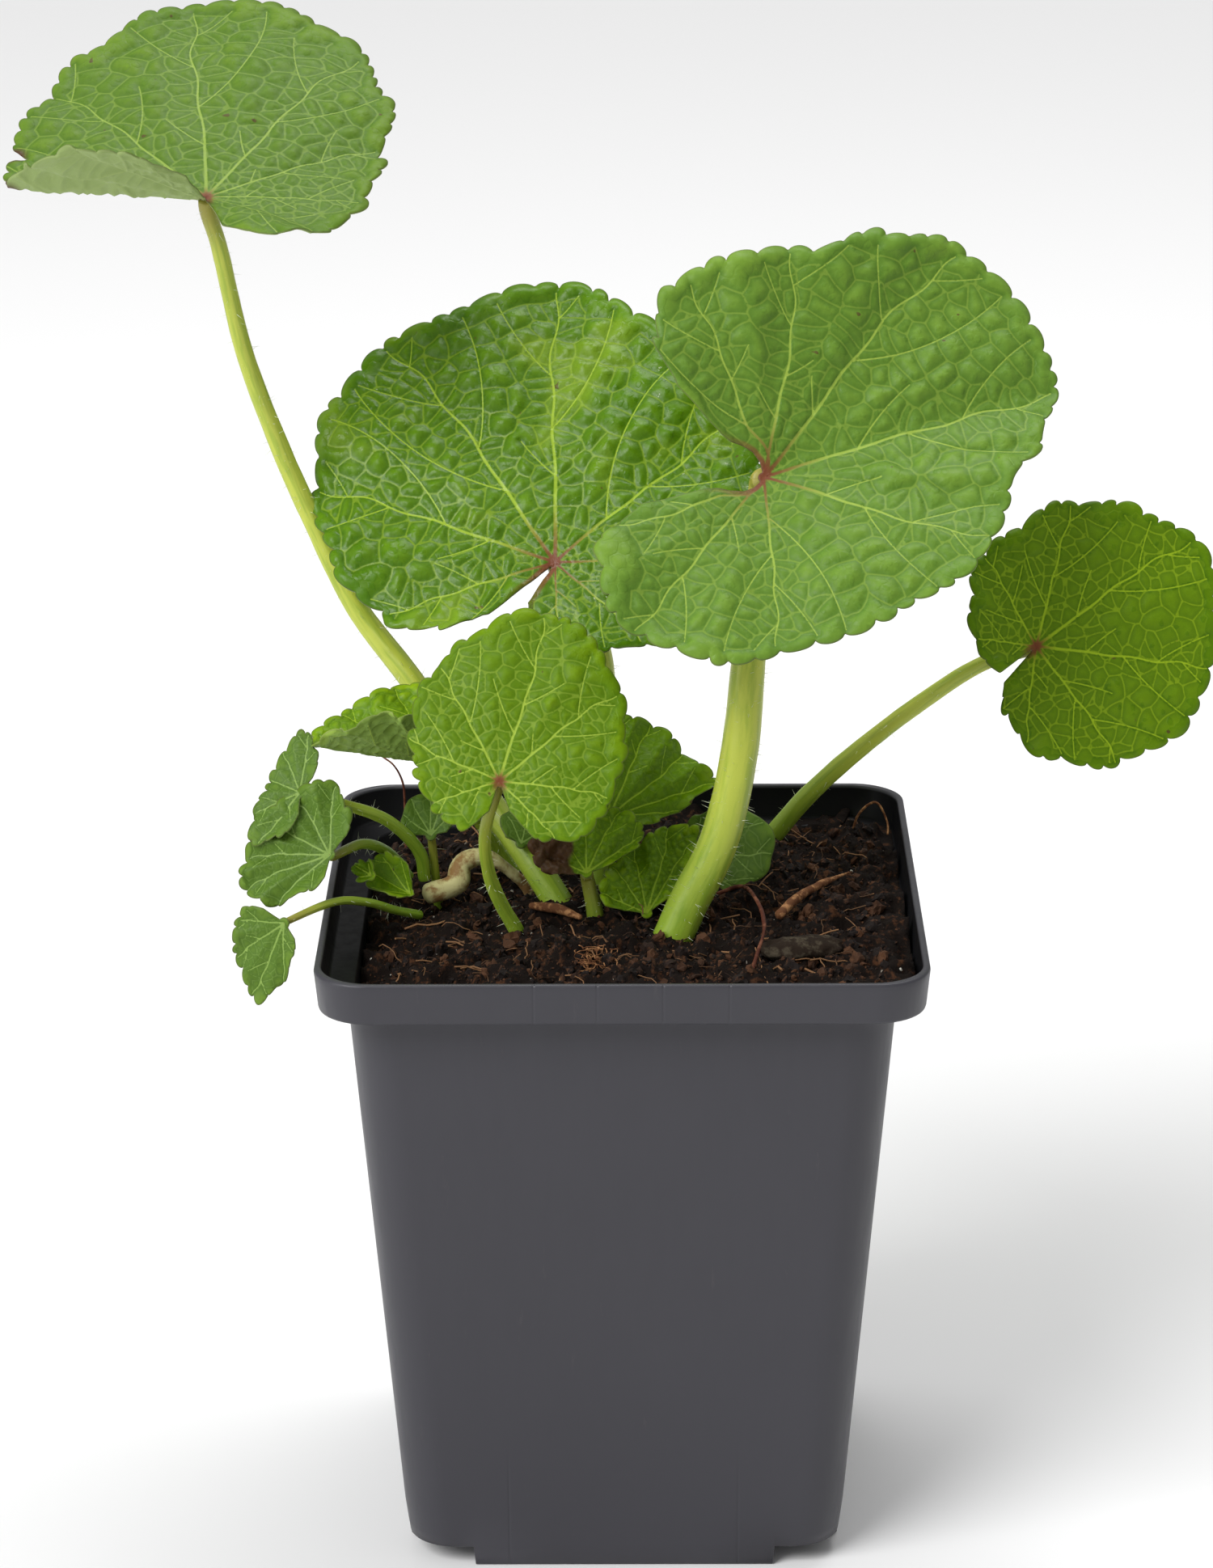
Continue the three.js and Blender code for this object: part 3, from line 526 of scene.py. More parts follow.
def cell_net(spec, lines, spacing, rng):
    """Lines of a net of cells about spacing wide that meets the given lines: cell seeds stand in
    pairs, mirrored over each line, so that no cell crosses it."""
    offset = 0.4 * spacing
    reach = max(rib[1] for rib in spec["ribs"])
    seeds = []
    for line in lines:
        dense = resample(line, spacing * 0.62)
        for p, n in zip(dense, across(dense)):
            slide = rng.uniform(0.85, 1.15)
            seeds += [p + n * offset * slide, p - n * offset * slide]
    paired = len(seeds)
    on_lines = tree_of(np.concatenate([resample(line, 0.4) for line in lines]))
    rows = int(1.2 * reach / spacing) + 1
    for i in range(-rows, rows + 1):
        for j in range(-rows, rows + 1):
            p = np.array([(i + 0.5 * (j % 2)) * spacing, j * spacing * 0.87])
            p += rng.uniform(-0.27, 0.27, 2) * spacing
            if on_lines.find((p[0], p[1], 0))[2] > offset * 1.55:
                seeds.append(p)
    verts, _, faces, origin, _, _ = delaunay_2d_cdt([Vector(s) for s in seeds], [], [], 0, 1e-4)
    co = np.array([v[:] for v in verts])
    tri = np.array([f for f in faces if len(f) == 3])
    a, b, c = co[tri[:, 0]], co[tri[:, 1]], co[tri[:, 2]]
    d = 2 * (a[:, 0] * (b[:, 1] - c[:, 1]) + b[:, 0] * (c[:, 1] - a[:, 1]) + c[:, 0] * (a[:, 1] - b[:, 1]))
    aa, bb, cc = (a**2).sum(1), (b**2).sum(1), (c**2).sum(1)
    x = (aa * (b[:, 1] - c[:, 1]) + bb * (c[:, 1] - a[:, 1]) + cc * (a[:, 1] - b[:, 1])) / d
    y = (aa * (c[:, 0] - b[:, 0]) + bb * (a[:, 0] - c[:, 0]) + cc * (b[:, 0] - a[:, 0])) / d
    centre = np.stack([x, y], 1)
    first_of = [o[0] if o else -1 for o in origin]
    owner = {}
    ends = []
    for t, f in enumerate(tri.tolist()):
        for i, j in ((f[0], f[1]), (f[1], f[2]), (f[2], f[0])):
            key = (min(i, j), max(i, j))
            if key not in owner:
                owner[key] = t
                continue
            one, two = first_of[i], first_of[j]
            if not (one < paired and two < paired and one // 2 == two // 2):
                ends.append((owner[key], t))
    ends = np.array(ends)
    p, q = centre[ends[:, 0]], centre[ends[:, 1]]
    long = np.hypot(*(p - q).T)
    keep = (long > 0.12 * spacing) & (long < 3 * spacing)
    for spot in (p, q, (p + q) / 2):
        keep &= inside(spec, spot, RIM_REACH)
    net = []
    for one, two in zip(p[keep], q[keep]):
        dense = resample(np.array([one, two]), 0.4)
        hump = np.sin(np.linspace(0, math.pi, len(dense)))[:, None]
        bow = rng.uniform(-0.09, 0.09) * np.hypot(*(two - one))
        net.append(dense + across(dense) * hump * bow)
    return net


# ---------------------------------------------------------------- blade: from flat points to a closed mesh

def thinned(points, spacing, taken):
    """Those points that stay clear of the taken ones."""
    tree = tree_of(taken)
    return [p for p in points if tree.find((p[0], p[1], 0))[2] > spacing]


def flat_mesh(spec, loop, main, side, net, step, rng):
    """Points and triangles of a blade in the flat, closer along its veins and margin."""
    margin_row = loop * (1 - 0.45 / np.maximum(np.hypot(*loop.T), 2))[:, None]
    rows = [margin_row[::2]]
    for line, width in main:
        dense = resample(line, 0.36)
        wide = np.interp(np.linspace(0, 1, len(dense)), np.linspace(0, 1, len(width)), width)[:, None]
        sideways = across(dense) * (wide + 0.16)
        rows += [dense, dense + sideways, dense - sideways]
    for line in side:
        rows.append(resample(line, 0.42))
    for line in net:
        rows.append(resample(line, 0.5))
    veins = np.concatenate(rows)
    veins = veins[inside(spec, veins, 0.985) | (np.hypot(*veins.T) < 0.8)]
    cells = np.round(veins / 0.2).astype(int)
    _, chosen = np.unique(cells, axis=0, return_index=True)
    veins = veins[np.sort(chosen)]
    reach = np.abs(loop).max() + step
    x, y = np.meshgrid(np.arange(-reach, reach, step), np.arange(-reach, reach, step * 0.87))
    x = x + (np.arange(len(x)) % 2)[:, None] * step / 2
    fill = np.stack([x.ravel(), y.ravel()], 1) + rng.uniform(-0.16, 0.16, (x.size, 2)) * step
    fill = fill[inside(spec, fill, 0.985)]
    fill = thinned(fill, 0.36, np.concatenate([veins, loop]))
    veins = thinned(veins, 0.2, loop)
    points = [Vector(p) for p in loop] + [Vector(p) for p in veins] + [Vector(p) for p in fill]
    count = len(loop)
    border = [(i, (i + 1) % count) for i in range(count)]
    verts, _, faces, _, _, _ = delaunay_2d_cdt(points, border, [], 1, 1e-4)
    flat = np.array([v[:] for v in verts])
    return flat, [tuple(f) for f in faces]


def border_of(faces):
    """The directed border edges of a sheet of triangles."""
    seen = {}
    for f in faces:
        for i in range(len(f)):
            seen[(f[i], f[(i + 1) % len(f)])] = True
    return [e for e in seen if (e[1], e[0]) not in seen]


def replica(spec, thickness, around, outward):
    """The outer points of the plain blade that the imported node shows, before it is put in place."""
    ribs = spec["ribs"]
    angles = np.linspace(ribs[0][0], ribs[-1][0], around + 1)
    root = 1.4
    points = []
    for share in np.linspace(0, 1, outward + 1):
        length = rib_values(ribs, angles)[0]
        run = root + (length - root) * share
        here = bent(ribs, angles, run)
        sideways = bent(ribs, angles - 1, root + (rib_values(ribs, angles - 1)[0] - root) * share) - here
        onward = bent(ribs, angles, run + (length - root) * 0.02) - here
        normal = np.cross(sideways, onward)
        normal /= np.linalg.norm(normal, axis=1, keepdims=True)
        points += [here + normal * thickness / 2, here - normal * thickness / 2]
    return np.concatenate(points)


def joint_of(name, spec):
    """Where the stalk joins a blade, in millimetres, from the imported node's box."""
    small = max(rib[1] for rib in spec["ribs"]) < 22
    plain = replica(spec, 0.6, 14, 3) if small else replica(spec, 0.8, 26, 4)
    plain = plain @ rotation(spec["turn"], spec["tilt"], spec["spin"]).T
    low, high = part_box(name)
    middle = (np.array(low) + np.array(high)) / 2 / MM
    return middle - (plain.min(0) + plain.max(0)) / 2


def blade_mesh(name, spec, seed):
    rng = np.random.default_rng(seed)
    leaf = lengths("leaf")
    ribs = spec["ribs"]
    reach = max(rib[1] for rib in ribs)
    grown = float(np.clip(reach / 40, 0.42, 1))
    seed_leaf = spec.get("seed_leaf", False)
    tooth = leaf["tooth_width"] * (0.35 + 0.65 * grown)
    depth = 0.05 if seed_leaf else leaf["tooth_depth"] * (0.3 + 0.7 * grown)
    loop = outline(spec, tooth, depth, rng)
    main = main_veins(spec, rng)
    side = cell_net(spec, [line for line, _ in main], spec["cell"], rng)
    net = cell_net(spec, [line for line, _ in main] + side, max(spec["cell"] * 0.42, 1.1), rng)
    step = leaf["mesh_step"] * (0.55 + 0.45 * grown)
    flat, faces = flat_mesh(spec, loop, main, side, net, step, rng)

    dense = [resample(line, 0.1) for line, _ in main]
    main_points = np.concatenate(dense)
    main_width = np.concatenate([
        np.interp(np.linspace(0, 1, len(fine)), np.linspace(0, 1, len(width)), width)
        for fine, (_, width) in zip(dense, main)
    ])
    main_tree = tree_of(main_points)
    found = [main_tree.find((p[0], p[1], 0)) for p in flat]
    far_main = np.array([f[2] for f in found])
    width = main_width[[f[1] for f in found]]
    far_side = np.minimum(distance_to_lines(side, flat), far_main)
    far_net = np.minimum(distance_to_lines(net, flat), far_side)
    far_stems = distance_to_lines([line for line, _ in main if np.hypot(*line[0]) < 0.5], flat)
    rim = distances(tree_of(loop), flat)

    angle, run = polar(spec, flat)
    share = run / rib_values(ribs, angle)[0]
    here = bent(ribs, angle, run)
    right = bent(ribs, angle - 0.4, run) - bent(ribs, angle + 0.4, run)
    onward = bent(ribs, angle, run + 0.05) - here
    normal = np.cross(right, onward)
    size = np.linalg.norm(normal, axis=1, keepdims=True)
    normal = np.where(size > 1e-9, normal / np.maximum(size, 1e-9), (0, 0, 1))

    cell = spec["cell"]
    relief = spec["relief"] * (0.45 + 0.55 * smooth(0, 2.4 * grown, rim)) * smooth(0, 2.5, run)
    dome = 0.8 * smooth(0, 0.32 * cell, far_side) ** 0.8 + 0.2 * smooth(0, 0.15 * cell, far_net)
    lumps = 0.7 + 0.3 * wobble(flat, cell * 0.9, seed + 7)
    pleat = spec["pleat"] * smooth(0, 0.2 * reach, far_stems) * smooth(0.05, 0.4, share)
    ruffle = spec["wave"] * smooth(0.35, 1, share) * fractal(flat, 12 * grown + 3, 2, seed + 11)
    height = relief * dome * lumps * 0.85 + pleat + ruffle
    height += 0.1 * spread(far_main, 0, 1.4) * (width > 0.2)
    height -= 0.1 * grown * spread(rim, 0, 1.1)
    if "withered" in spec:
        crumple = smooth(5, 40, angle) * smooth(0.1, 0.6, share)
        height += crumple * 0.9 * fractal(flat, 2.4, 3, seed + 3)
    thick = leaf["thickness"] * (0.55 + 0.45 * smooth(0, 1.2, rim)) * (0.7 + 0.3 * grown)
    ridge = (0.55 * spread(far_main / (width + 0.12), 0.3, 1.7) * (width + 0.1)
             + 0.1 * spread(far_side, 0, 0.5)) * smooth(0, 0.6, rim)
    top = here + normal * (height + thick / 2)[:, None]
    bottom = here + normal * (height - thick / 2 - ridge)[:, None]

    count = len(flat)
    turned = rotation(spec["turn"], spec["tilt"], spec["spin"])
    points = np.concatenate([top, bottom]) @ turned.T + joint_of(name, spec)
    sides = [(j, i, i + count, j + count) for i, j in border_of(faces)]
    under = [tuple(i + count for i in reversed(f)) for f in faces]
    scorch = np.zeros(count)
    for at, from_share, spot in spec.get("scorch", ()):
        edge = flat_point(at, rib_values(ribs, [at])[0][0] * from_share)
        scorch = np.maximum(scorch, spread(np.hypot(*(flat - edge).T), spot * 0.45, spot))
    if "withered" in spec:
        scorch = np.maximum(scorch, smooth(0, 0.25, crumple - 0.35 + 0.25 * wobble(flat, 3, seed)))
    attributes = {
        "main": far_main / (width + 0.02), "side": far_side * 6 / cell, "net": far_net * 6 / cell,
        "rim": rim, "run": run, "scorch": scorch,
    }
    attributes = {key: np.tile(values, 2) for key, values in attributes.items()}
    attributes["under"] = np.repeat([0.0, 1.0], count)
    return new_mesh(name + "_surface", points, faces + sides + under, attributes)


# ---------------------------------------------------------------- node trees: small builders

def plug(made, **values):
    """Sets or links a node's input sockets, each given by its name, or by its number after an underscore."""
    for key, value in values.items():
        socket = made.inputs[int(key[1:]) if key[0] == "_" else key.replace("_", " ")]
        if isinstance(value, bpy.types.NodeSocket):
            made.id_data.links.new(value, socket)
        else:
            socket.default_value = value


def node(tree, kind, **values):
    """A new node. Keys that name a property set it, and the others set or link an input socket."""
    made = tree.nodes.new(kind)
    own = {key for key in values if key[0].islower() and hasattr(made, key)}
    for key in values:
        if key in own:
            setattr(made, key, values[key])
    plug(made, **{key: value for key, value in values.items() if key not in own})
    return made


def attribute(tree, name):
    return node(tree, "ShaderNodeAttribute", attribute_name=name).outputs["Fac"]


def steps(tree, value, low, high, start=0.0, end=1.0):
    made = node(tree, "ShaderNodeMapRange", interpolation_type="SMOOTHSTEP", Value=value, From_Min=low,
                From_Max=high, To_Min=start, To_Max=end)
    return made.outputs["Result"]


def calc(tree, operation, a, b=0.0):
    return node(tree, "ShaderNodeMath", operation=operation, _0=a, _1=b).outputs[0]


def blend(tree, factor, a, b, kind="MIX"):
    return node(tree, "ShaderNodeMix", data_type="RGBA", blend_type=kind, _0=factor, _6=a, _7=b).outputs[2]


def noise(tree, place, scale, detail=3.0, roughness=0.55):
    made = node(tree, "ShaderNodeTexNoise", Vector=place, Scale=scale, Detail=detail, Roughness=roughness)
    return made.outputs["Fac"]


def sockets(tree, direction, **kinds):
    for key, kind in kinds.items():
        tree.interface.new_socket(key.replace("_", " "), in_out=direction, socket_type="NodeSocket" + kind)


def rgba(colour_value, factor=1.0):
    return (*[c * factor for c in colour_value[:3]], 1.0)


# ---------------------------------------------------------------- shader groups

def place_of(tree):
    return node(tree, "ShaderNodeTexCoord").outputs["Object"]


def leaf_surface_group():
    """Colour, roughness and fine relief of a blade, from the distances stored on its points, with painted shade in the
    creases along the veins and a painted highlight on the domes between them.
    """
    tree = bpy.data.node_groups.new("Leaf surface", "ShaderNodeTree")
    colours = dict.fromkeys(("Green", "Shade", "Vein", "Joint", "Margin", "Flaw"), "Color")
    numbers = ("Side", "Net", "Under", "Reddening", "Patches", "Specks", "Sheen_Roughness")
    sockets(tree, "INPUT", **colours, **dict.fromkeys(numbers, "Float"))
    sockets(tree, "OUTPUT", Color="Color", Roughness="Float", Normal="Vector")
    given = tree.nodes.new("NodeGroupInput").outputs
    place = place_of(tree)
    main = steps(tree, attribute(tree, "main"), 0.45, 1.2, 1, 0)
    side = steps(tree, attribute(tree, "side"), 0.03, 0.24, 1, 0)
    net = steps(tree, attribute(tree, "net"), 0.02, 0.22, 1, 0)
    run = attribute(tree, "run")
    rim = attribute(tree, "rim")
    under = attribute(tree, "under")
    broad = steps(tree, noise(tree, place, 95, 4), 0.35, 0.65)
    fine = noise(tree, place, 1300, 3, 0.6)
    colour_now = blend(tree, broad, given["Green"], given["Shade"])
    # Painted shade: the colour darkens towards a dimmed Shade along the side and net veins, in the creases between the
    # puckers.
    painted_crease_shade = steps(tree, attribute(tree, "side"), 0.1, 1.2, 0.75, 0)
    painted_crease_shade = calc(tree, "ADD", painted_crease_shade, steps(tree, attribute(tree, "net"), 0.1, 0.7, 0.25, 0))
    painted_shade_colour = blend(tree, 1.0, given["Shade"], (0.72, 0.8, 0.7, 1), "MULTIPLY")
    colour_now = blend(tree, painted_crease_shade, colour_now, painted_shade_colour)
    lit = blend(tree, 1.0, colour_now, (1.35, 1.3, 1.25, 1), "MULTIPLY")
    colour_now = blend(tree, steps(tree, fine, 0.45, 0.8, 0, 0.5), colour_now, lit)
    # Painted highlight: the middles of the cells, far from the side veins, are lightened as if they caught the light.
    painted_dome_highlight = steps(tree, attribute(tree, "side"), 0.9, 2.2, 0, 0.15)
    colour_now = blend(tree, painted_dome_highlight, colour_now, lit)
    patch = calc(tree, "MULTIPLY", steps(tree, noise(tree, place, 70, 2), 0.55, 0.7), given["Patches"])
    colour_now = blend(tree, patch, colour_now, given["Vein"])
    speck = steps(tree, noise(tree, place, 620, 3, 0.7), 0.69, 0.74)
    speck = calc(tree, "MULTIPLY", speck, steps(tree, noise(tree, place, 55, 1), 0.5, 0.6))
    colour_now = blend(tree, calc(tree, "MULTIPLY", speck, given["Specks"]), colour_now, (0.5, 0.55, 0.38, 1))
    dot = steps(tree, noise(tree, place, 480, 1), 0.775, 0.8)
    colour_now = blend(tree, calc(tree, "MULTIPLY", dot, 0.8), colour_now, given["Flaw"])
    red = steps(tree, run, 0.0, given["Reddening"], 1, 0)
    vein = blend(tree, red, given["Vein"], given["Joint"])
    colour_now = blend(tree, calc(tree, "MULTIPLY", net, given["Net"]), colour_now, given["Vein"])
    side_strength = calc(tree, "MULTIPLY", side, given["Side"])
    colour_now = blend(tree, side_strength, colour_now, given["Vein"])
    colour_now = blend(tree, main, colour_now, vein)
    star = calc(tree, "MULTIPLY", steps(tree, run, 0.3, 1.5, 0.85, 0), red)
    bare = calc(tree, "MULTIPLY", steps(tree, rim, 0.5, 1.0, 1, 0), red)
    colour_now = blend(tree, calc(tree, "MAXIMUM", star, bare), colour_now, given["Joint"])
    edge = steps(tree, rim, 0.03, 0.22, 0.4, 0)
    colour_now = blend(tree, edge, colour_now, given["Margin"])
    pale = blend(tree, given["Under"], colour_now, (0.36, 0.46, 0.17, 1))
    colour_now = blend(tree, under, colour_now, pale)
    colour_now = blend(tree, attribute(tree, "scorch"), colour_now, given["Flaw"])
    rough = calc(tree, "ADD", given["Sheen Roughness"], steps(tree, fine, 0.3, 0.8, -0.07, 0.14))
    rough = calc(tree, "ADD", rough, calc(tree, "MULTIPLY", under, 0.12))
    pebbles = node(tree, "ShaderNodeTexVoronoi", Vector=place, Scale=1150.0, feature="SMOOTH_F1")
    height = calc(tree, "MULTIPLY", pebbles.outputs["Distance"], -0.55)
    height = calc(tree, "ADD", height, calc(tree, "MULTIPLY", fine, 0.5))
    height = calc(tree, "SUBTRACT", height, calc(tree, "MULTIPLY", net, 0.4))
    bump = node(tree, "ShaderNodeBump", Strength=0.55, Distance=0.00016, Height=height)
    node(tree, "NodeGroupOutput", Color=colour_now, Roughness=rough, Normal=bump.outputs["Normal"])
    return tree


def grime_group():
    """Mottling between two colours with a rough relief, shared by soil, crumbs, bark and roots."""
    tree = bpy.data.node_groups.new("Mottled matter", "ShaderNodeTree")
    sockets(tree, "INPUT", Dark="Color", Light="Color", Scale="Float", Depth="Float", Share="Float")
    sockets(tree, "OUTPUT", Color="Color", Normal="Vector")
    given = tree.nodes.new("NodeGroupInput").outputs
    place = place_of(tree)
    coarse = node(tree, "ShaderNodeTexNoise", Vector=place, Scale=given["Scale"], Detail=6.0, Roughness=0.65)
    low = calc(tree, "SUBTRACT", 0.72, given["Share"])
    high = calc(tree, "ADD", low, 0.16)
    mask = steps(tree, coarse.outputs["Fac"], low, high)
    colour_now = blend(tree, mask, given["Dark"], given["Light"])
    bump = node(tree, "ShaderNodeBump", Strength=0.8, Distance=given["Depth"], Height=coarse.outputs["Fac"])
    node(tree, "NodeGroupOutput", Color=colour_now, Normal=bump.outputs["Normal"])
    return tree


GROUPS = {}


def group_named(name):
    if name not in GROUPS:
        GROUPS[name] = {"leaf": leaf_surface_group, "matter": grime_group}[name]()
    return GROUPS[name]


def new_material(name):
    made = bpy.data.materials.new(name)
    made.use_nodes = True
    tree = made.node_tree
    tree.nodes.clear()
    surface = tree.nodes.new("ShaderNodeBsdfPrincipled")
    out = tree.nodes.new("ShaderNodeOutputMaterial")
    tree.links.new(surface.outputs["BSDF"], out.inputs["Surface"])
    return made, tree, surface


def grouped(tree, name, **values):
    return node(tree, "ShaderNodeGroup", node_tree=group_named(name), **values).outputs


def leaf_material(name, green, shade, vein, shine=0.2, **given):
    leaf = settings("leaf")
    made, tree, surface = new_material(name)
    values = dict(Under=0.35, Patches=0.0, Specks=0.0) | given
    outputs = grouped(tree, "leaf", Green=rgba(green), Shade=rgba(shade), Vein=rgba(vein),
                      Joint=leaf.joint[:], Margin=leaf.margin[:], Flaw=(0.075, 0.035, 0.014, 1), **values)
    plug(surface, Base_Color=outputs["Color"], Roughness=outputs["Roughness"], Normal=outputs["Normal"],
         Specular_IOR_Level=shine)
    return made


LEAF_FINISH = {
    "leaf_high_left": dict(green=(0.118, 0.212, 0.014), shade=(0.09, 0.18, 0.012), vein=(0.24, 0.35, 0.055),
                           Side=0.4, Net=0.06, Under=0.75, Reddening=3.0, Sheen_Roughness=0.5),
    "leaf_centre": dict(green=(0.102, 0.222, 0.001), shade=(0.066, 0.168, 0.001), vein=(0.29, 0.42, 0.03),
                        Side=0.42, Net=0.06, Reddening=12.0, Patches=0.3, Specks=0.8, Sheen_Roughness=0.34,
                        shine=0.24),
    "leaf_large_right": dict(green=(0.145, 0.265, 0.026), shade=(0.11, 0.222, 0.022), vein=(0.28, 0.4, 0.055),
                             Side=0.38, Net=0.05, Reddening=12.0, Sheen_Roughness=0.46),
    "leaf_front": dict(green=(0.14, 0.246, 0.002), shade=(0.106, 0.206, 0.002), vein=(0.3, 0.42, 0.045),
                       Side=0.38, Net=0.04, Reddening=2.5, Sheen_Roughness=0.46, shine=0.13),
    "leaf_low_right": dict(green=(0.108, 0.214, 0.001), shade=(0.084, 0.18, 0.001), vein=(0.29, 0.43, 0.014),
                           Side=0.5, Net=0.14, Reddening=3.5, Sheen_Roughness=0.46, shine=0.12),
    "young_leaf": dict(green=(0.24, 0.39, 0.002), shade=(0.14, 0.27, 0.001), vein=(0.34, 0.5, 0.03),
                       Side=0.25, Net=0.04, Reddening=0.1, Sheen_Roughness=0.44),
    "grey_leaf": dict(green=(0.12, 0.215, 0.02), shade=(0.09, 0.17, 0.015), vein=(0.22, 0.34, 0.07),
                      Side=0.3, Net=0.05, Reddening=0.1, Sheen_Roughness=0.5),
}


def stalk_material():
    stalk = settings("stalk")
    made, tree, surface = new_material("Stalk")
    along = attribute(tree, "along")
    skin = node(tree, "ShaderNodeAttribute", attribute_name="skin").outputs["Vector"]
    streaks = noise(tree, skin, 2.6, 4)
    colour_now = blend(tree, steps(tree, along, 0, 40), stalk.base[:], stalk.middle[:])
    deep = blend(tree, 1.0, colour_now, (0.62, 0.75, 0.55, 1), "MULTIPLY")
    colour_now = blend(tree, steps(tree, streaks, 0.4, 0.7, 0, 0.8), colour_now, deep)
    near_top = calc(tree, "MULTIPLY", steps(tree, attribute(tree, "left"), 0, 11, 1, 0), 0.55)
    colour_now = blend(tree, near_top, colour_now, (0.2, 0.09, 0.03, 1))
    pits = noise(tree, place_of(tree), 900, 3)
    relief = calc(tree, "ADD", pits, streaks)
    bump = node(tree, "ShaderNodeBump", Strength=0.35, Distance=0.00015, Height=relief)
    plug(surface, Base_Color=colour_now, Normal=bump.outputs[0], Roughness=0.38, Specular_IOR_Level=0.45)
    return made


def plain_material(name, colour_value, roughness):
    made, _, surface = new_material(name)
    plug(surface, Base_Color=rgba(colour_value), Roughness=roughness)
    return made


def matter_material(name, dark, light, scale, depth, share, roughness=0.9):
    made, tree, surface = new_material(name)
    outputs = grouped(tree, "matter", Dark=rgba(dark), Light=rgba(light), Scale=scale, Depth=depth,
                      Share=share)
    plug(surface, Base_Color=outputs["Color"], Normal=outputs["Normal"], Roughness=roughness,
         Specular_IOR_Level=0.15)
    return made


def litter_material(name, dark, light, roughness=0.85):
    """Crumbs and fibres, each with a tint of its own."""
    made, tree, surface = new_material(name)
    tint = attribute(tree, "tint")
    outputs = grouped(tree, "matter", Dark=rgba(dark), Light=rgba(light), Scale=900.0, Depth=0.0003,
                      Share=0.2)
    own = blend(tree, steps(tree, tint, 0.55, 1.0, 0, 0.9), outputs["Color"], rgba(light))
    plug(surface, Base_Color=own, Normal=outputs["Normal"], Roughness=roughness, Specular_IOR_Level=0.3)
    return made


def pot_material():
    pot = settings("pot")
    made, tree, surface = new_material("Pot plastic")
    place = place_of(tree)
    apart = node(tree, "ShaderNodeSeparateXYZ", _0=place)
    cloud = noise(tree, place, 22, 4)
    grain = noise(tree, place, 2600, 2)
    colour_now = blend(tree, steps(tree, cloud, 0.3, 0.7, 0, 0.35), pot.plastic[:], rgba(pot.plastic, 1.16))
    stretch = node(tree, "ShaderNodeMapping", Vector=place)
    stretch.inputs["Scale"].default_value = (60, 60, 9)
    smear = noise(tree, stretch.outputs["Vector"], 8, 5, 0.7)
    dust = calc(tree, "MULTIPLY", steps(tree, smear, 0.62, 0.8), 0.16)
    colour_now = blend(tree, dust, colour_now, (0.16, 0.14, 0.13, 1))
    # Painted shade: the pot's inner wall is painted near black and its reflection turned down, for the shade inside the
    # pot.
    painted_inner_shade = attribute(tree, "inside")
    colour_now = blend(tree, painted_inner_shade, colour_now, (0.006, 0.006, 0.007, 1))
    rough = steps(tree, smear, 0.3, 0.8, 0.36, 0.5)
    seams = None
    for at, upper in ((-12.8, 1), (-3.6, 1), (6.0, 1), (15.6, 1), (-17.5, 0), (17.4, 0)):
        away = calc(tree, "ABSOLUTE", calc(tree, "SUBTRACT", apart.outputs["X"], at * MM))
        line = steps(tree, away, 0.0, 0.0003, 1, 0)
        reach = (0.0936, 0.0940) if upper else (0.022, 0.012)
        line = calc(tree, "MULTIPLY", line, steps(tree, apart.outputs["Z"], *reach))
        seams = line if seams is None else calc(tree, "ADD", seams, line)
    relief = calc(tree, "ADD", calc(tree, "MULTIPLY", grain, 0.05), calc(tree, "MULTIPLY", seams, -0.6))
    relief = calc(tree, "ADD", relief, calc(tree, "MULTIPLY", cloud, 0.6))
    bump = node(tree, "ShaderNodeBump", Strength=0.5, Distance=0.0002, Height=relief)
    shine = steps(tree, painted_inner_shade, 0, 1, 0.4, 0.08)
    plug(surface, Base_Color=colour_now, Roughness=rough, Normal=bump.outputs[0], Specular_IOR_Level=shine)
    return made


# ---------------------------------------------------------------- stalks, stems and roots

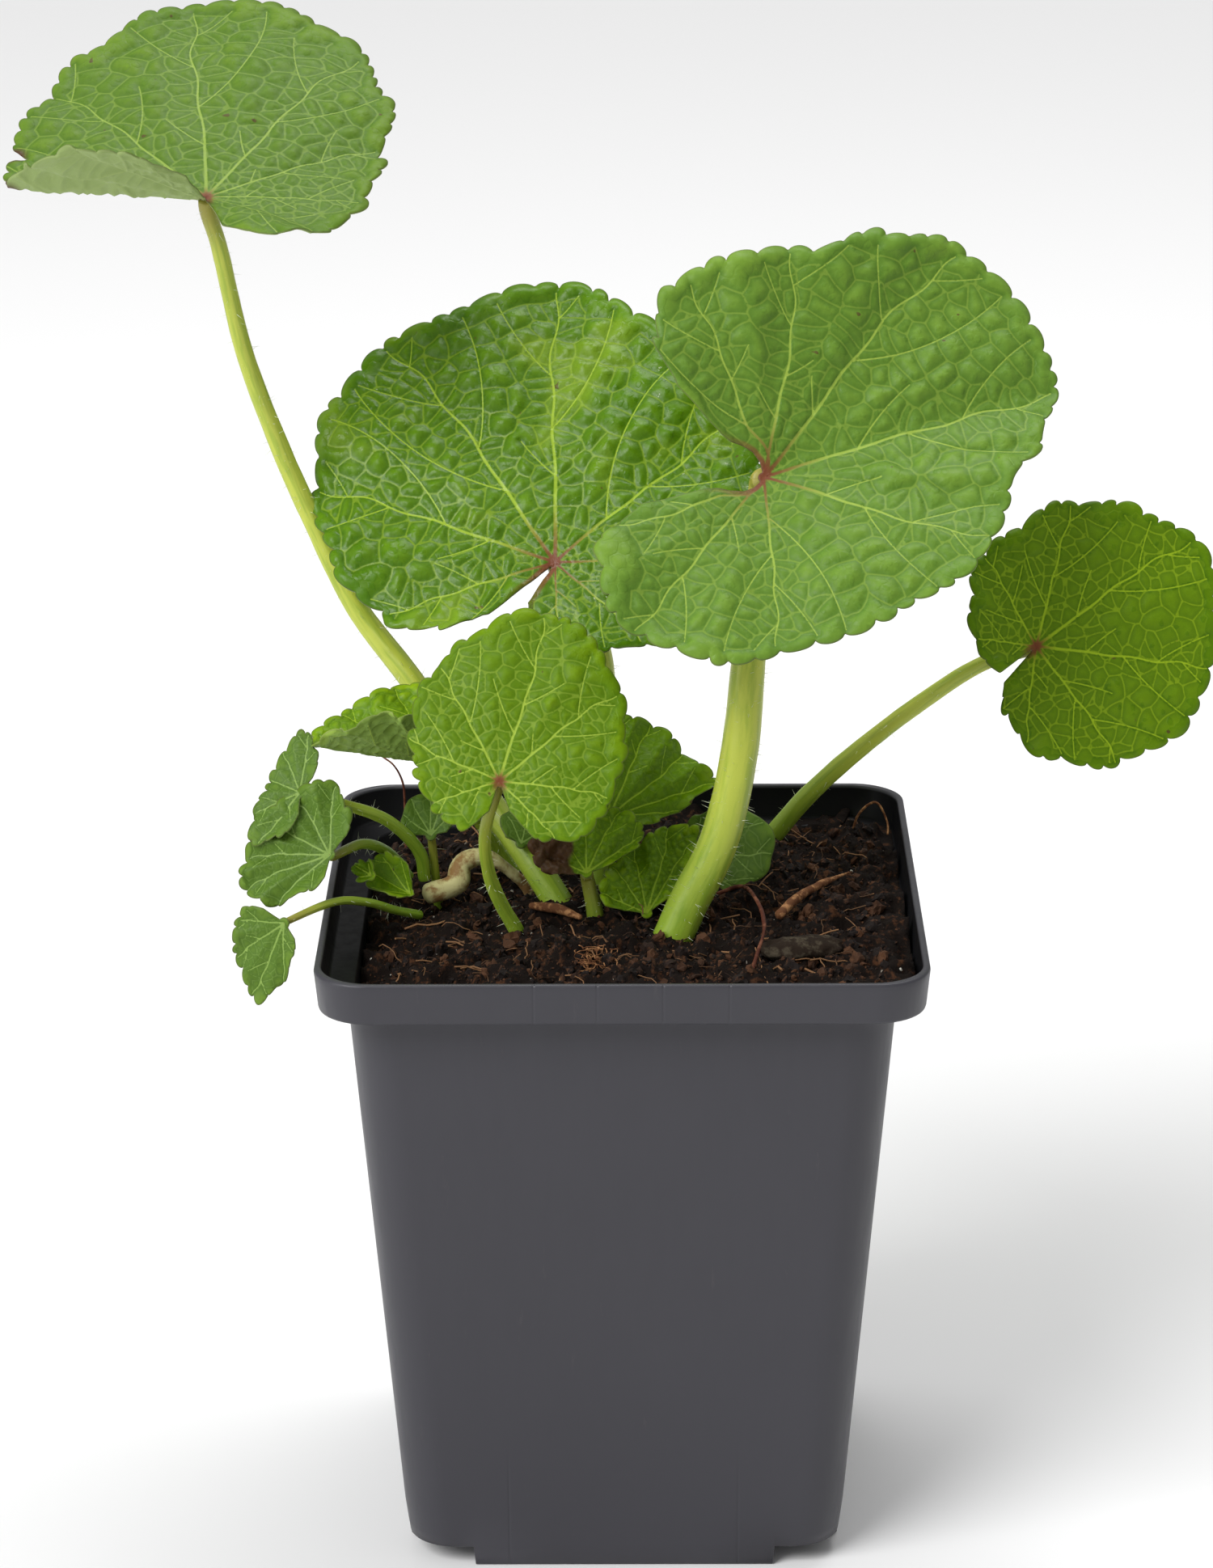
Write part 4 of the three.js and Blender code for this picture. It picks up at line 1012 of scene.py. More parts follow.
# Each route starts under the soil. A stalk's route ends at the joint of its leaf, which it meets
# from clearance below it. Radii run evenly along the route.
STALKS = {
    "stalk_high_left": ("leaf_high_left", 1.6, (2.4, 2.1, 1.7, 1.4, 1.2), (
        (-6, -3, 89), (-9.9, 0, 96), (-14.9, 4, 102.8), (-19.9, 9, 108.3), (-25.6, 13, 116.2),
        (-31.8, 17, 125.4), (-41.2, 22.5, 136.8), (-47.9, 24.4, 150.6), (-52.6, 24.4, 162.2),
        (-57.5, 22, 178), (-60.4, 18, 195),
    )),
    "stalk_large_right": ("leaf_large_right", 2.6, (3.1, 3, 2.8, 2.4, 1.8), (
        (4, -14, 88), (7.1, -14, 94.3), (9.8, -13, 100.4), (14.6, -11, 110), (17.7, -8, 123.1),
        (19, -5, 136.2), (20.6, -1.5, 150),
    )),
    "stalk_low_right": ("leaf_low_right", 1.8, (1.7, 1.5, 1.3, 1.1), (
        (19, 33, 90), (23.2, 31, 95.1), (29.4, 28.4, 103.6), (36.9, 26, 111.7), (46.8, 23.6, 120.6),
        (56, 22.4, 127.2),
    )),
    "stalk_front": ("leaf_front", 1.3, (1.2, 1.1, 0.9, 0.85), (
        (-14, -11, 90), (-15.6, -12, 95.2), (-18.4, -14, 101.5), (-19.9, -16, 106.8), (-20.3, -19, 114.3),
    )),
    "stalk_centre": ("leaf_centre", 2, (1.9, 1.8, 1.6, 1.3), (
        (-4.4, 5, 90), (-4, 6, 97), (-3.4, 9.6, 109), (-2.8, 12, 121), (-3, 13.6, 131), (-6, 14.6, 140.4),
    )),
    "stalk_folded": ("leaf_folded_left", 1.2, (1.1, 1, 0.8), (
        (-15, 14, 90), (-17.5, 13.5, 97), (-23, 10, 107), (-27, 3, 115),
    )),
    "stalk_pleated": ("young_leaf_pleated", 1.3, (1, 0.9, 0.8), (
        (1.4, -0.5, 90), (1, -0.3, 97), (0, 0.2, 103),
    )),
    "stalk_withered": ("young_leaf_withered", 1.2, (1.4, 1.3, 1), ((-3.8, -5.4, 90), (-4.2, -5.5, 96.5))),
    "seed_leaf_left_stalk": ("seed_leaf_left", 0.9, (0.8, 0.7, 0.6), (
        (-28, 5.2, 88), (-28.6, 4.6, 96), (-29, 3.4, 102),
    )),
    "seedling_stalk_upper": ("seedling_leaf_upper", 1.4, (1, 1, 0.9, 0.8), (
        (-30.4, 2.6, 99.2), (-31, 1.6, 103.6), (-35.4, -1.4, 109.8), (-41.5, -5, 113.7),
    )),
    "seedling_stalk_pleated": ("seedling_leaf_pleated", 1.2, (0.8, 0.8, 0.7), (
        (-32.8, 3.6, 99), (-35.4, 2.4, 103), (-39.2, -4, 107.2),
    )),
    "seedling_stalk_hanging": ("seedling_leaf_hanging", 1.1, (0.7, 0.65, 0.55), (
        (-31, -3.4, 95.4), (-34.7, -7, 97.6), (-38.2, -10.4, 100), (-42.9, -14, 101.6),
    )),
}

SEEDLING_STEM = ((0.9, 0.9, 1, 1.3, 1.7, 1.5), (
    (-13.4, 8.2, 90), (-15, 6.6, 96.4), (-17.7, 5, 99.8), (-21.1, 4, 102.2), (-24.6, 3, 101.3),
    (-25.4, 1.6, 98.6), (-29.6, 0.4, 97.4),
))

ROOTS = {
    "bark_sliver": ((0.7, 0.75, 0.45, 0.25), (
        (23.8, -11.1, 98.2), (26.5, -5.9, 98.9), (30.3, -0.6, 99.2), (34.9, 5.2, 99),
    )),
    "wood_sliver": ((0.5, 0.8, 0.5), ((-13.8, -6.2, 97.9), (-9.8, -8.6, 98.3), (-6.4, -11.6, 98))),
    "root_arch": ((0.3, 0.28), (
        (14.6, -2.4, 98.4), (17.9, -4.1, 100.2), (20.3, -12.6, 101), (21.1, -23.3, 100.6),
        (19.8, -31.3, 99.4), (18.6, -36, 97.4),
    )),
    "root_upright": ((0.22, 0.16), (
        (-34.6, 30, 90), (-34.6, 30, 99.8), (-34.9, 30, 105.4), (-36.3, 30, 108.3), (-38, 30, 109.7),
    )),
    "root_loop": ((0.22, 0.17), (
        (36.2, 29.7, 92), (37.4, 30.3, 99.5), (40.2, 30.1, 101.8), (42, 28.6, 99), (42, 26.8, 97.6),
    )),
}


def curve_through(points, step):
    """Evenly spaced points of a smooth curve through the given ones."""
    p = np.array(points, float)
    p = np.vstack([2 * p[0] - p[1], p, 2 * p[-1] - p[-2]])
    dense = []
    for i in range(1, len(p) - 2):
        a, b, c, d = p[i - 1 : i + 3]
        ta, tb, tc = (np.linalg.norm(q - r) ** 0.5 for q, r in ((b, a), (c, b), (d, c)))
        start = ((b - a) / ta - (c - a) / (ta + tb) + (c - b) / tb) * tb
        end = ((c - b) / tb - (d - b) / (tb + tc) + (d - c) / tc) * tb
        t = np.linspace(0, 1, 40, endpoint=False)[:, None]
        dense.append((2 * t**3 - 3 * t**2 + 1) * b + (t**3 - 2 * t**2 + t) * start
                     + (3 * t**2 - 2 * t**3) * c + (t**3 - t**2) * end)
    dense = np.vstack(dense + [p[-2:-1]])
    run = np.concatenate([[0], np.cumsum(np.linalg.norm(np.diff(dense, axis=0), axis=1))])
    at = np.linspace(0, run[-1], max(4, int(run[-1] / step)) + 1)
    return np.stack([np.interp(at, run, dense[:, k]) for k in range(3)], 1), at


def tube(route, at, radii, sides, lump, seed, cap=0.6, flute=0.0):
    """Points, faces and attributes of a closed tube, with rounded ends."""
    length = at[-1]
    radius = np.interp(at / length, np.linspace(0, 1, len(radii)), radii)
    heading = np.gradient(route, axis=0)
    heading /= np.linalg.norm(heading, axis=1, keepdims=True)
    side = np.cross(heading[0], (0.3, 1, 0.2))
    frames = []
    for h in heading:
        side = side - h * (side @ h)
        side /= np.linalg.norm(side)
        frames.append((side.copy(), np.cross(h, side)))
    ends = []
    for share in (1.0, 0.7, 0.35):
        ends.append((0, -cap * radius[0] * share, math.sqrt(1 - (share * 0.96) ** 2)))
    stations = ends + [(i, 0.0, 1.0) for i in range(len(route))]
    last = len(route) - 1
    for share in (0.35, 0.7, 1.0):
        stations.append((last, cap * radius[-1] * share, math.sqrt(1 - (share * 0.96) ** 2)))
    turn = np.linspace(0, 2 * math.pi, sides, endpoint=False)
    points, along, skin = [], [], []
    for i, ahead, narrow in stations:
        one, two = frames[i]
        around = np.cos(turn)[:, None] * one + np.sin(turn)[:, None] * two
        r = radius[i] * narrow * (1 + flute * np.cos(5 * turn + at[i] * 0.02))
        points.append(route[i] + heading[i] * ahead + around * r[:, None])
        along += [at[i]] * sides
        skin += [(math.cos(t), math.sin(t), at[i] * 0.05) for t in turn]
    points = np.concatenate(points)
    centres = np.repeat([route[i] for i, _, _ in stations], sides, 0)
    outward = points - centres
    outward /= np.maximum(np.linalg.norm(outward, axis=1, keepdims=True), 1e-6)
    points = points + outward * (lump * fractal(points, 5, 3, seed))[:, None]
    faces = []
    for ring in range(len(stations) - 1):
        for k in range(sides):
            a, b = ring * sides + k, ring * sides + (k + 1) % sides
            faces.append((a, b, b + sides, a + sides))
    faces.append(tuple(reversed(range(sides))))
    faces.append(tuple(range(len(points) - sides, len(points))))
    return points, faces, {"along": np.array(along), "left": length - np.array(along)}, np.array(skin)


def tube_mesh(name, parts):
    """One mesh from several tubes."""
    points, faces, skins = [], [], []
    attributes = {"along": [], "left": []}
    offset = 0
    for p, f, values, skin in parts:
        points.append(p)
        faces += [tuple(i + offset for i in face) for face in f]
        offset += len(p)
        skins.append(skin)
        for key in attributes:
            attributes[key].append(values[key])
    joined = {key: np.concatenate(values) for key, values in attributes.items()}
    mesh = new_mesh(name, np.concatenate(points), faces, joined)
    layer = mesh.attributes.new("skin", "FLOAT_VECTOR", "POINT")
    layer.data.foreach_set("vector", np.concatenate(skins).astype(np.float32).ravel())
    return mesh


# ---------------------------------------------------------------- soil

def soil_level(x, y):
    left = smooth(18, 38, -x)
    back = smooth(20, 40, y)
    lumps = np.sin(x * 0.31 + 1) * np.cos(y * 0.37 - 0.6) + 0.5 * np.sin(x * 0.7 - y * 0.55)
    return 96 - 3.4 * left - 1.2 * back * (1 - left) + 1.1 * smooth(20, 70, x - y) + 0.7 * lumps


def rounded(square, half, corner):
    """Maps points of the square -1..1 onto a square with rounded corners, ring by ring."""
    size = np.maximum(np.abs(square[:, 0]), np.abs(square[:, 1]))
    heading = square / np.maximum(np.linalg.norm(square, axis=1, keepdims=True), 1e-9)
    a, b = np.abs(heading).max(1), np.abs(heading).min(1)
    straight = half - corner
    to_side = half / np.maximum(a, 1e-9)
    across_side = to_side * b
    middle = straight * (a + b)
    to_corner = middle + np.sqrt(np.maximum(middle**2 - 2 * straight**2 + corner**2, 0))
    full = np.where(across_side > straight, to_corner, to_side)
    squared = half * size / np.maximum(a, 1e-9)
    return heading * (squared * (1 - size**6) + full * size * size**6)[:, None]


def soil_grid(step):
    """The soil's points and its closed faces: a fine lumpy top, and plain sides and bottom."""
    count = int(2 * SOIL_HALF / step)
    u, v = np.meshgrid(np.linspace(-1, 1, count + 1), np.linspace(-1, 1, count + 1))
    wide = rounded(np.stack([u.ravel(), v.ravel()], 1), SOIL_HALF, SOIL_CORNER)
    edge = np.maximum(np.abs(u), np.abs(v)).ravel()
    low = 1 - smooth(LEDGE - 0.2, LEDGE + 0.7, soil_level(wide[:, 0], wide[:, 1]))
    drawn_in = 1 - 0.093 * low * edge**3
    plan = wide * drawn_in[:, None]
    clods = fractal(plan, 6.0, 2, 11)
    crumbs = 1 - 2 * np.abs(wobble(plan, 2.6, 21))
    fine = fractal(plan, 1.5, 3, 31)
    starts = np.array([route[:2] for _, _, _, route in STALKS.values()])[:, :, :2]
    feet = 0.4 * starts[:, 0] + 0.6 * starts[:, 1]
    near = np.hypot(*(plan[:, None, :] - feet).transpose(2, 0, 1)).min(1)
    calm = 0.3 + 0.7 * smooth(1.5, 5, near)
    tops = soil_level(plan[:, 0], plan[:, 1]) + 1.25 * clods + calm * (0.85 * crumbs + 0.6 * fine)
    tops += 0.5 * spread(near, 1.5, 5)
    tops -= 0.8 * smooth(0.93, 1, edge)
    on_ledge = SOIL_HALF * edge * drawn_in > LEDGE_INNER
    tops = np.clip(tops, np.where(on_ledge, LEDGE + 0.1, 0), 99.2)
    stride = count + 1
    faces = []
    for j in range(count):
        for i in range(count):
            a = j * stride + i
            faces.append((a, a + 1, a + 1 + stride, a + stride))
    top = np.column_stack([plan, tops])
    rim = [i for i in range(count)] + [count + j * stride for j in range(count)]
    rim += [count * stride + count - i for i in range(count)] + [(count - j) * stride for j in range(count)]
    levels = ((95.2, 1.0), (94.4, 0.9), (60.0, 0.8), (4.6, 0.62))
    points = [top]
    below = rim
    start = len(top)
    for number, (z, share) in enumerate(levels):
        across_ring = plan[rim] if share == 1.0 else wide[rim] * share
        ring = np.column_stack([across_ring, np.minimum(z, tops[rim] - 0.4 * (number + 1))])
        points.append(ring)
        current = list(range(start, start + len(rim)))
        for k in range(len(rim)):
            n = (k + 1) % len(rim)
            faces.append((below[n], below[k], current[k], current[n]))
        below = current
        start += len(rim)
    faces.append(tuple(reversed(below)))
    return np.concatenate(points), faces, len(top)


def inner_faces(faces, count, share):
    """The faces of the soil's top that lie within a share of its width. They come first, row by row."""
    side = int(round(math.sqrt(count))) - 1
    kept = range(int(side * (1 - share) / 2), int(side * (1 + share) / 2))
    return [faces[j * side + i] for j in kept for i in kept]


# ---------------------------------------------------------------- pot

def ring_plan(half, corner):
    """A square with rounded corners, with points where the raised corners of the foot begin."""
    straight = half - corner
    marks = [FOOT_START, FOOT_END, 12.0, 0.0]
    side = sorted({*marks, straight} | {-m for m in (*marks, straight)})
    bend = [math.radians(a) for a in np.linspace(0, 90, 13)[1:-1]]
    quarter = [(half, s) for s in side]
    quarter += [(straight + corner * math.cos(a), straight + corner * math.sin(a)) for a in bend]
    ring = []
    for k in range(4):
        c, s = round(math.cos(k * math.pi / 2)), round(math.sin(k * math.pi / 2))
        ring += [(c * x - s * y, s * x + c * y) for x, y in quarter]
    return np.array(ring)


def foot_lift(plan):
    nearer = np.minimum(np.abs(plan[:, 0]), np.abs(plan[:, 1]))
    return FOOT_STEP * smooth(FOOT_START, FOOT_END, nearer)


def footed(plan, z):
    """Height of a point that would be at z if the foot's corners weren't raised."""
    reach = 9.0
    lift = foot_lift(plan)
    return np.where(z >= reach, z, lift + z * (reach - lift) / reach)


def pot_mesh():
    pot = lengths("pot")
    neck, base, rim, wall = (pot[key] for key in ("neck_half", "base_half", "rim_half", "wall"))
    low = POT_HEIGHT - pot["collar"]
    outer = [(base - 0.35, 0.0), (base, 0.35)]
    outer += [(base + (neck - base) * z / low, z) for z in (3.2, 6, 9, 14, 30, 50, 70, 85, 90, low - 0.5)]
    outer += [(neck + 0.12, low - 0.12), (neck + 0.5, low), (rim - 1.0, low), (rim - 0.62, low + 0.12),
              (rim - 0.5, low + 0.5), (rim - 0.1, 98.6), (rim, 99.55), (rim - 0.08, 99.86),
              (rim - 0.3, POT_HEIGHT)]
    inner = [(rim - wall + 0.2, POT_HEIGHT), (rim - wall, 99.8), (rim - wall - 0.1, 99.4),
             (rim - wall - 0.5, low + wall + 0.4), (rim - wall - 0.9, low + wall),
             (neck - wall + 0.3, low + wall), (neck - wall, low + wall - 0.4)]
    inner += [(base + (neck - base) * z / low - wall, z) for z in (85, 60, 30, 9, FLOOR_THICKNESS)]
    points, faces = [], []
    count = 0
    for number, (half, z) in enumerate(outer + inner):
        plan = ring_plan(half, 7.0 + (half - base) / (rim - base))
        points.append(np.column_stack([plan, footed(plan, z)]))
        count = len(plan)
        if number:
            a = (number - 1) * count
            for k in range(count):
                n = (k + 1) % count
                faces.append((a + k, a + n, a + count + n, a + count + k))
    points = np.concatenate(points)
    first = list(range(count))
    last = list(range(len(points) - count, len(points)))
    holes = [(sx * HOLE_AT, sy * HOLE_AT) for sx in (1, -1) for sy in (1, -1)]
    turn = np.linspace(0, 2 * math.pi, HOLE_SIDES, endpoint=False)
    all_points = list(points)
    hole_loops = []
    for border, level, up in ((first, 0.0, False), (last, FLOOR_THICKNESS, True)):
        flat = [Vector(points[i][:2]) for i in border]
        borders = [(i, (i + 1) % count) for i in range(count)]
        loops = []
        for cx, cy in holes:
            begin = len(flat)
            flat += [Vector((cx + HOLE_RADIUS * math.cos(t), cy + HOLE_RADIUS * math.sin(t))) for t in turn]
            borders += [(begin + i, begin + (i + 1) % HOLE_SIDES) for i in range(HOLE_SIDES)]
            loops.append(list(range(begin, begin + HOLE_SIDES)))
        for lift_line in (FOOT_START, FOOT_END):
            for sx in (1, -1):
                for sy in (1, -1):
                    begin = len(flat)
                    far = np.array([p[:] for p in flat[:count]])
                    on_x = far[np.argmin(np.hypot(far[:, 0] - sx * lift_line, far[:, 1] - sy * 40))]
                    on_y = far[np.argmin(np.hypot(far[:, 1] - sy * lift_line, far[:, 0] - sx * 40))]
                    flat += [Vector(on_x), Vector((sx * lift_line, sy * lift_line)), Vector(on_y)]
                    borders += [(begin, begin + 1), (begin + 1, begin + 2)]
        verts, _, tris, origin, _, _ = delaunay_2d_cdt(flat, borders, [], 1, 1e-3)
        where = {}
        for i, v in enumerate(verts):
            from_border = [o for o in origin[i] if o < count]
            if from_border:
                where[i] = border[from_border[0]]
                continue
            where[i] = len(all_points)
            all_points.append(np.array([v[0], v[1], footed(np.array([v[:]]), level)[0]]))
        new_loops = []
        back = {o: where[i] for i in range(len(verts)) for o in origin[i]}
        for loop in loops:
            new_loops.append([back[i] for i in loop])
        hole_loops.append(new_loops)
        middle = [np.mean([verts[i][:] for i in f], axis=0) for f in tris]
        for f, m in zip(tris, middle):
            if min(math.hypot(m[0] - cx, m[1] - cy) for cx, cy in holes) < HOLE_RADIUS - 0.02:
                continue
            f = [where[i] for i in f]
            faces.append(tuple(f) if up else tuple(reversed(f)))
    for lower, upper in zip(*hole_loops):
        for k in range(HOLE_SIDES):
            n = (k + 1) % HOLE_SIDES
            faces.append((lower[k], upper[k], upper[n], lower[n]))
    # The inner wall's points get the painted shade of the pot's material.
    inner_shade_mask = np.zeros(len(all_points))
    inner_shade_mask[(len(outer) + 2) * count : (len(outer) + len(inner)) * count] = 1
    return new_mesh("pot_surface", np.array(all_points), faces, {"inside": inner_shade_mask})


# ---------------------------------------------------------------- geometry nodes: hairs, crumbs and fibres

def chance(tree, kind, low, high, seed):
    """A random value at each point: a vector, a number or a whole number."""
    place = ("FLOAT_VECTOR", "FLOAT", "INT").index(kind)
    limits = {f"_{2 * place}": low, f"_{2 * place + 1}": high}
    return node(tree, "FunctionNodeRandomValue", data_type=kind, Seed=seed, **limits).outputs[place]


def scatter_tree(name, shapes, flat, tapered=False):
    """Scatters random shapes over a surface. flat lays them down, and otherwise they stand or tumble."""
    tree = bpy.data.node_groups.new(name, "GeometryNodeTree")
    sockets(tree, "INPUT", Geometry="Geometry", Density="Float", Seed="Int", Smallest="Float",
            Largest="Float", Material="Material")
    sockets(tree, "OUTPUT", Geometry="Geometry")
    given = tree.nodes.new("NodeGroupInput").outputs
    spots = node(tree, "GeometryNodeDistributePointsOnFaces", Mesh=given["Geometry"],
                 Density=given["Density"], Seed=given["Seed"])
    tint = chance(tree, "FLOAT", 0.0, 1.0, given["Seed"])
    stored = node(tree, "GeometryNodeStoreNamedAttribute", domain="POINT", data_type="FLOAT", Name="tint",
                  Geometry=spots.outputs["Points"], Value=tint)
    power = calc(tree, "POWER", chance(tree, "FLOAT", 0.0, 1.0, 5), 2.6)
    size = node(tree, "ShaderNodeMapRange", Value=power, To_Min=given["Smallest"], To_Max=given["Largest"])
    if tapered:
        lean = chance(tree, "FLOAT_VECTOR", (-0.45,) * 3, (0.45,) * 3, 3)
        heading = node(tree, "ShaderNodeVectorMath", operation="ADD", _0=spots.outputs["Normal"], _1=lean)
        turned = node(tree, "FunctionNodeAlignRotationToVector", axis="Z", Vector=heading.outputs[0]).outputs[0]
    else:
        tip = 0.35 if flat else 3.14
        turned = chance(tree, "FLOAT_VECTOR", (-tip, -tip, 0), (tip, tip, 6.28), 9)
    choice = tree.nodes.new("GeometryNodeJoinGeometry")
    for shape in reversed(shapes):
        plug(choice, _0=node(tree, "GeometryNodeGeometryToInstance", _0=shape(tree)).outputs[0])
    which = chance(tree, "INT", 0, len(shapes) - 1, 17)
    placed = node(tree, "GeometryNodeInstanceOnPoints", Points=stored.outputs[0], Instance=choice.outputs[0],
                  Pick_Instance=True, Instance_Index=which, Rotation=turned, Scale=size.outputs[0])
    real = node(tree, "GeometryNodeRealizeInstances", Geometry=placed.outputs[0])
    painted = node(tree, "GeometryNodeSetMaterial", Geometry=real.outputs[0], Material=given["Material"])
    node(tree, "NodeGroupOutput", Geometry=painted.outputs[0])
    return tree


def crooked(tree, geometry, amount, scale, shift):
    """Moves points by a noise that is different for each shift."""
    place = tree.nodes.new("GeometryNodeInputPosition").outputs[0]
    moved = node(tree, "ShaderNodeVectorMath", operation="ADD", _0=place, _1=(shift, shift, 0.0))
    texture = node(tree, "ShaderNodeTexNoise", Vector=moved.outputs[0], Scale=scale, Detail=2.0)
    centred = node(tree, "ShaderNodeVectorMath", operation="SUBTRACT", _0=texture.outputs["Color"],
                   _1=(0.5,) * 3)
    scaled = node(tree, "ShaderNodeVectorMath", operation="MULTIPLY", _0=centred.outputs[0], _1=(amount,) * 3)
    return node(tree, "GeometryNodeSetPosition", Geometry=geometry, Offset=scaled.outputs[0]).outputs[0]


def crumb(shift, detail, squash):
    def shape(tree):
        ball = node(tree, "GeometryNodeMeshIcoSphere", Radius=0.5, Subdivisions=detail)
        rough = crooked(tree, ball.outputs["Mesh"], 0.9, 2.2, shift)
        return node(tree, "GeometryNodeTransform", Geometry=rough, Scale=(1, squash, squash * 0.8)).outputs[0]
    return shape


def fibre(shift, thickness, curl):
    def shape(tree):
        line = node(tree, "GeometryNodeCurvePrimitiveLine", Start=(-0.5, 0, 0), End=(0.5, 0, 0))
        fine = node(tree, "GeometryNodeResampleCurve", Curve=line.outputs[0], Count=9)
        bowed = crooked(tree, fine.outputs[0], curl, 1.6, shift)
        section = node(tree, "GeometryNodeCurvePrimitiveCircle", Resolution=4, Radius=thickness)
        return node(tree, "GeometryNodeCurveToMesh", Curve=bowed, Profile_Curve=section.outputs[0],
                    Fill_Caps=True).outputs[0]
    return shape


def hair(tree):
    cone = node(tree, "GeometryNodeMeshCone", Vertices=3, Radius_Top=0.004, Radius_Bottom=0.03, Depth=1.0)
    return cone.outputs["Mesh"]


def scattered(name, base_mesh, tree, material, density, seed, smallest, largest):
    """Bakes a scatter over a mesh into a piece. Density is per square millimetre, sizes in millimetres."""
    maker = bpy.data.objects.new(name, base_mesh)
    bpy.context.scene.collection.objects.link(maker)
    modifier = maker.modifiers.new("Scatter", "NODES")
    modifier.node_group = tree
    identifiers = {item.name: item.identifier for item in tree.interface.items_tree if item.in_out == "INPUT"}
    values = {"Density": density / MM**2, "Seed": seed, "Smallest": smallest * MM, "Largest": largest * MM,
              "Material": material}
    for key, value in values.items():
        modifier[identifiers[key]] = value
    maker.update_tag()
    bpy.context.view_layer.update()
    evaluated = maker.evaluated_get(bpy.context.evaluated_depsgraph_get())
    baked = bpy.data.meshes.new_from_object(evaluated)
    maker.modifiers.clear()
    maker.data = baked
    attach(maker, BODY)
    return maker


# ---------------------------------------------------------------- operators

class HOLLYHOCK_OT_pot(bpy.types.Operator):
    """Builds the square pot with its collar, ledge and raised corners"""
    bl_idname = "hollyhock.pot"
    bl_label = "Pot"

    def execute(self, context):
        piece = new_piece("pot_finish", pot_mesh(), "pot", "pot")
        piece.data.materials.append(pot_material())
        return {"FINISHED"}


class HOLLYHOCK_OT_soil(bpy.types.Operator):
    """Builds the peaty soil, and the crumbs and fibres that lie on it"""
    bl_idname = "hollyhock.soil"
    bl_label = "Soil"

    def execute(self, context):
        soil = settings("soil")
        points, faces, count = soil_grid(lengths("soil")["mesh_step"])
        matter = matter_material("Peat", soil.peat, soil.coir, 620.0, 0.0006, 0.2)
        piece = new_piece("soil_surface", new_mesh("soil_surface", points, faces), "soil", "soil")
        piece.data.materials.append(matter)
        top, middle, centre = (
            new_mesh("soil_" + name, points[:count], inner_faces(faces, count, share))
            for name, share in (("top", 0.965), ("middle", 0.92), ("centre", 0.84))
        )
        dark = litter_material("Crumbs", (0.007, 0.0032, 0.002), (0.085, 0.034, 0.013))
        straw = litter_material("Fibres", (0.03, 0.013, 0.006), (0.26, 0.13, 0.055), 0.7)
        pale = litter_material("Pale specks", (0.25, 0.22, 0.18), (0.6, 0.58, 0.5), 0.8)
        crumbs = scatter_tree("Crumbs", [crumb(3, 2, 0.85), crumb(11, 2, 0.6), crumb(23, 1, 0.4)], False)
        strands = [fibre(2, 0.012, 0.3), fibre(9, 0.016, 0.55), fibre(31, 0.01, 0.8)]
        fibres = scatter_tree("Fibres", strands, True)
        scattered("soil_crumbs", middle, crumbs, dark, 0.32, 4, 0.5, 3.0)
        scattered("soil_grit", top, crumbs, dark, 0.5, 8, 0.25, 0.9)
        scattered("soil_fibres", centre, fibres, straw, 0.085, 5, 1.0, 13.0)
        scattered("soil_specks", top, crumbs, pale, 0.012, 6, 0.2, 0.8)
        return {"FINISHED"}


class HOLLYHOCK_OT_leaves(bpy.types.Operator):
    """Builds every blade, with its teeth, veins and puckers"""
    bl_idname = "hollyhock.leaves"
    bl_label = "Leaves"

    def execute(self, context):
        finishes = {}
        for number, (name, spec) in enumerate(LEAVES.items()):
            key = name if name in LEAF_FINISH else spec["finish"]
            if key not in finishes:
                finishes[key] = leaf_material("Leaf " + key.replace("_", " "), **LEAF_FINISH[key])
            piece = new_piece(name + "_blade", blade_mesh(name, spec, 40 + number), spec["finish"], name)
            piece.data.materials.append(finishes[key])
        return {"FINISHED"}


class HOLLYHOCK_OT_stalks(bpy.types.Operator):
    """Builds the stalks and the seedling's bent stem, with their fine hairs"""
    bl_idname = "hollyhock.stalks"
    bl_label = "Stalks"

    def execute(self, context):
        stalk = settings("stalk")
        skin = stalk_material()
        longest = lengths("stalk")["hair_length"]
        fuzz = plain_material("Hairs", (0.75, 0.8, 0.6), 0.6)
        tree = scatter_tree("Hairs", [hair], False, tapered=True)
        for number, (name, (leaf, clearance, radii, route)) in enumerate(STALKS.items()):
            spec = LEAVES[leaf]
            joint = joint_of(leaf, spec)
            below = rotation(spec["turn"], spec["tilt"], spec["spin"]) @ (0, 0, -1.0)
            points = [*route, joint + below * clearance, joint + below * 0.4]
            line, at = curve_through(points, 0.7)
            made = tube(line, at, radii, stalk.sides, 0.05, 60 + number, cap=0.25, flute=0.025)
            mesh = tube_mesh(name + "_surface", [made])
            piece = new_piece(name + "_skin", mesh, "stalk", name)
            piece.data.materials.append(skin)
            scattered(name + "_hairs", mesh.copy(), tree, fuzz, 0.55, number, 0.35, longest)
        radii, route = SEEDLING_STEM
        line, at = curve_through(route, 0.5)
        made = tube(line, at, radii, stalk.sides, 0.3, 90, cap=0.6)
        mesh = tube_mesh("seedling_stem_surface", [made])
        piece = new_piece("seedling_stem_skin", mesh, "pale_stem", "seedling_stem")
        pale = matter_material("Pale stem", (0.3, 0.17, 0.06), (0.62, 0.57, 0.27), 300.0, 0.0003, 0.34, 0.5)
        piece.data.materials.append(pale)
        return {"FINISHED"}


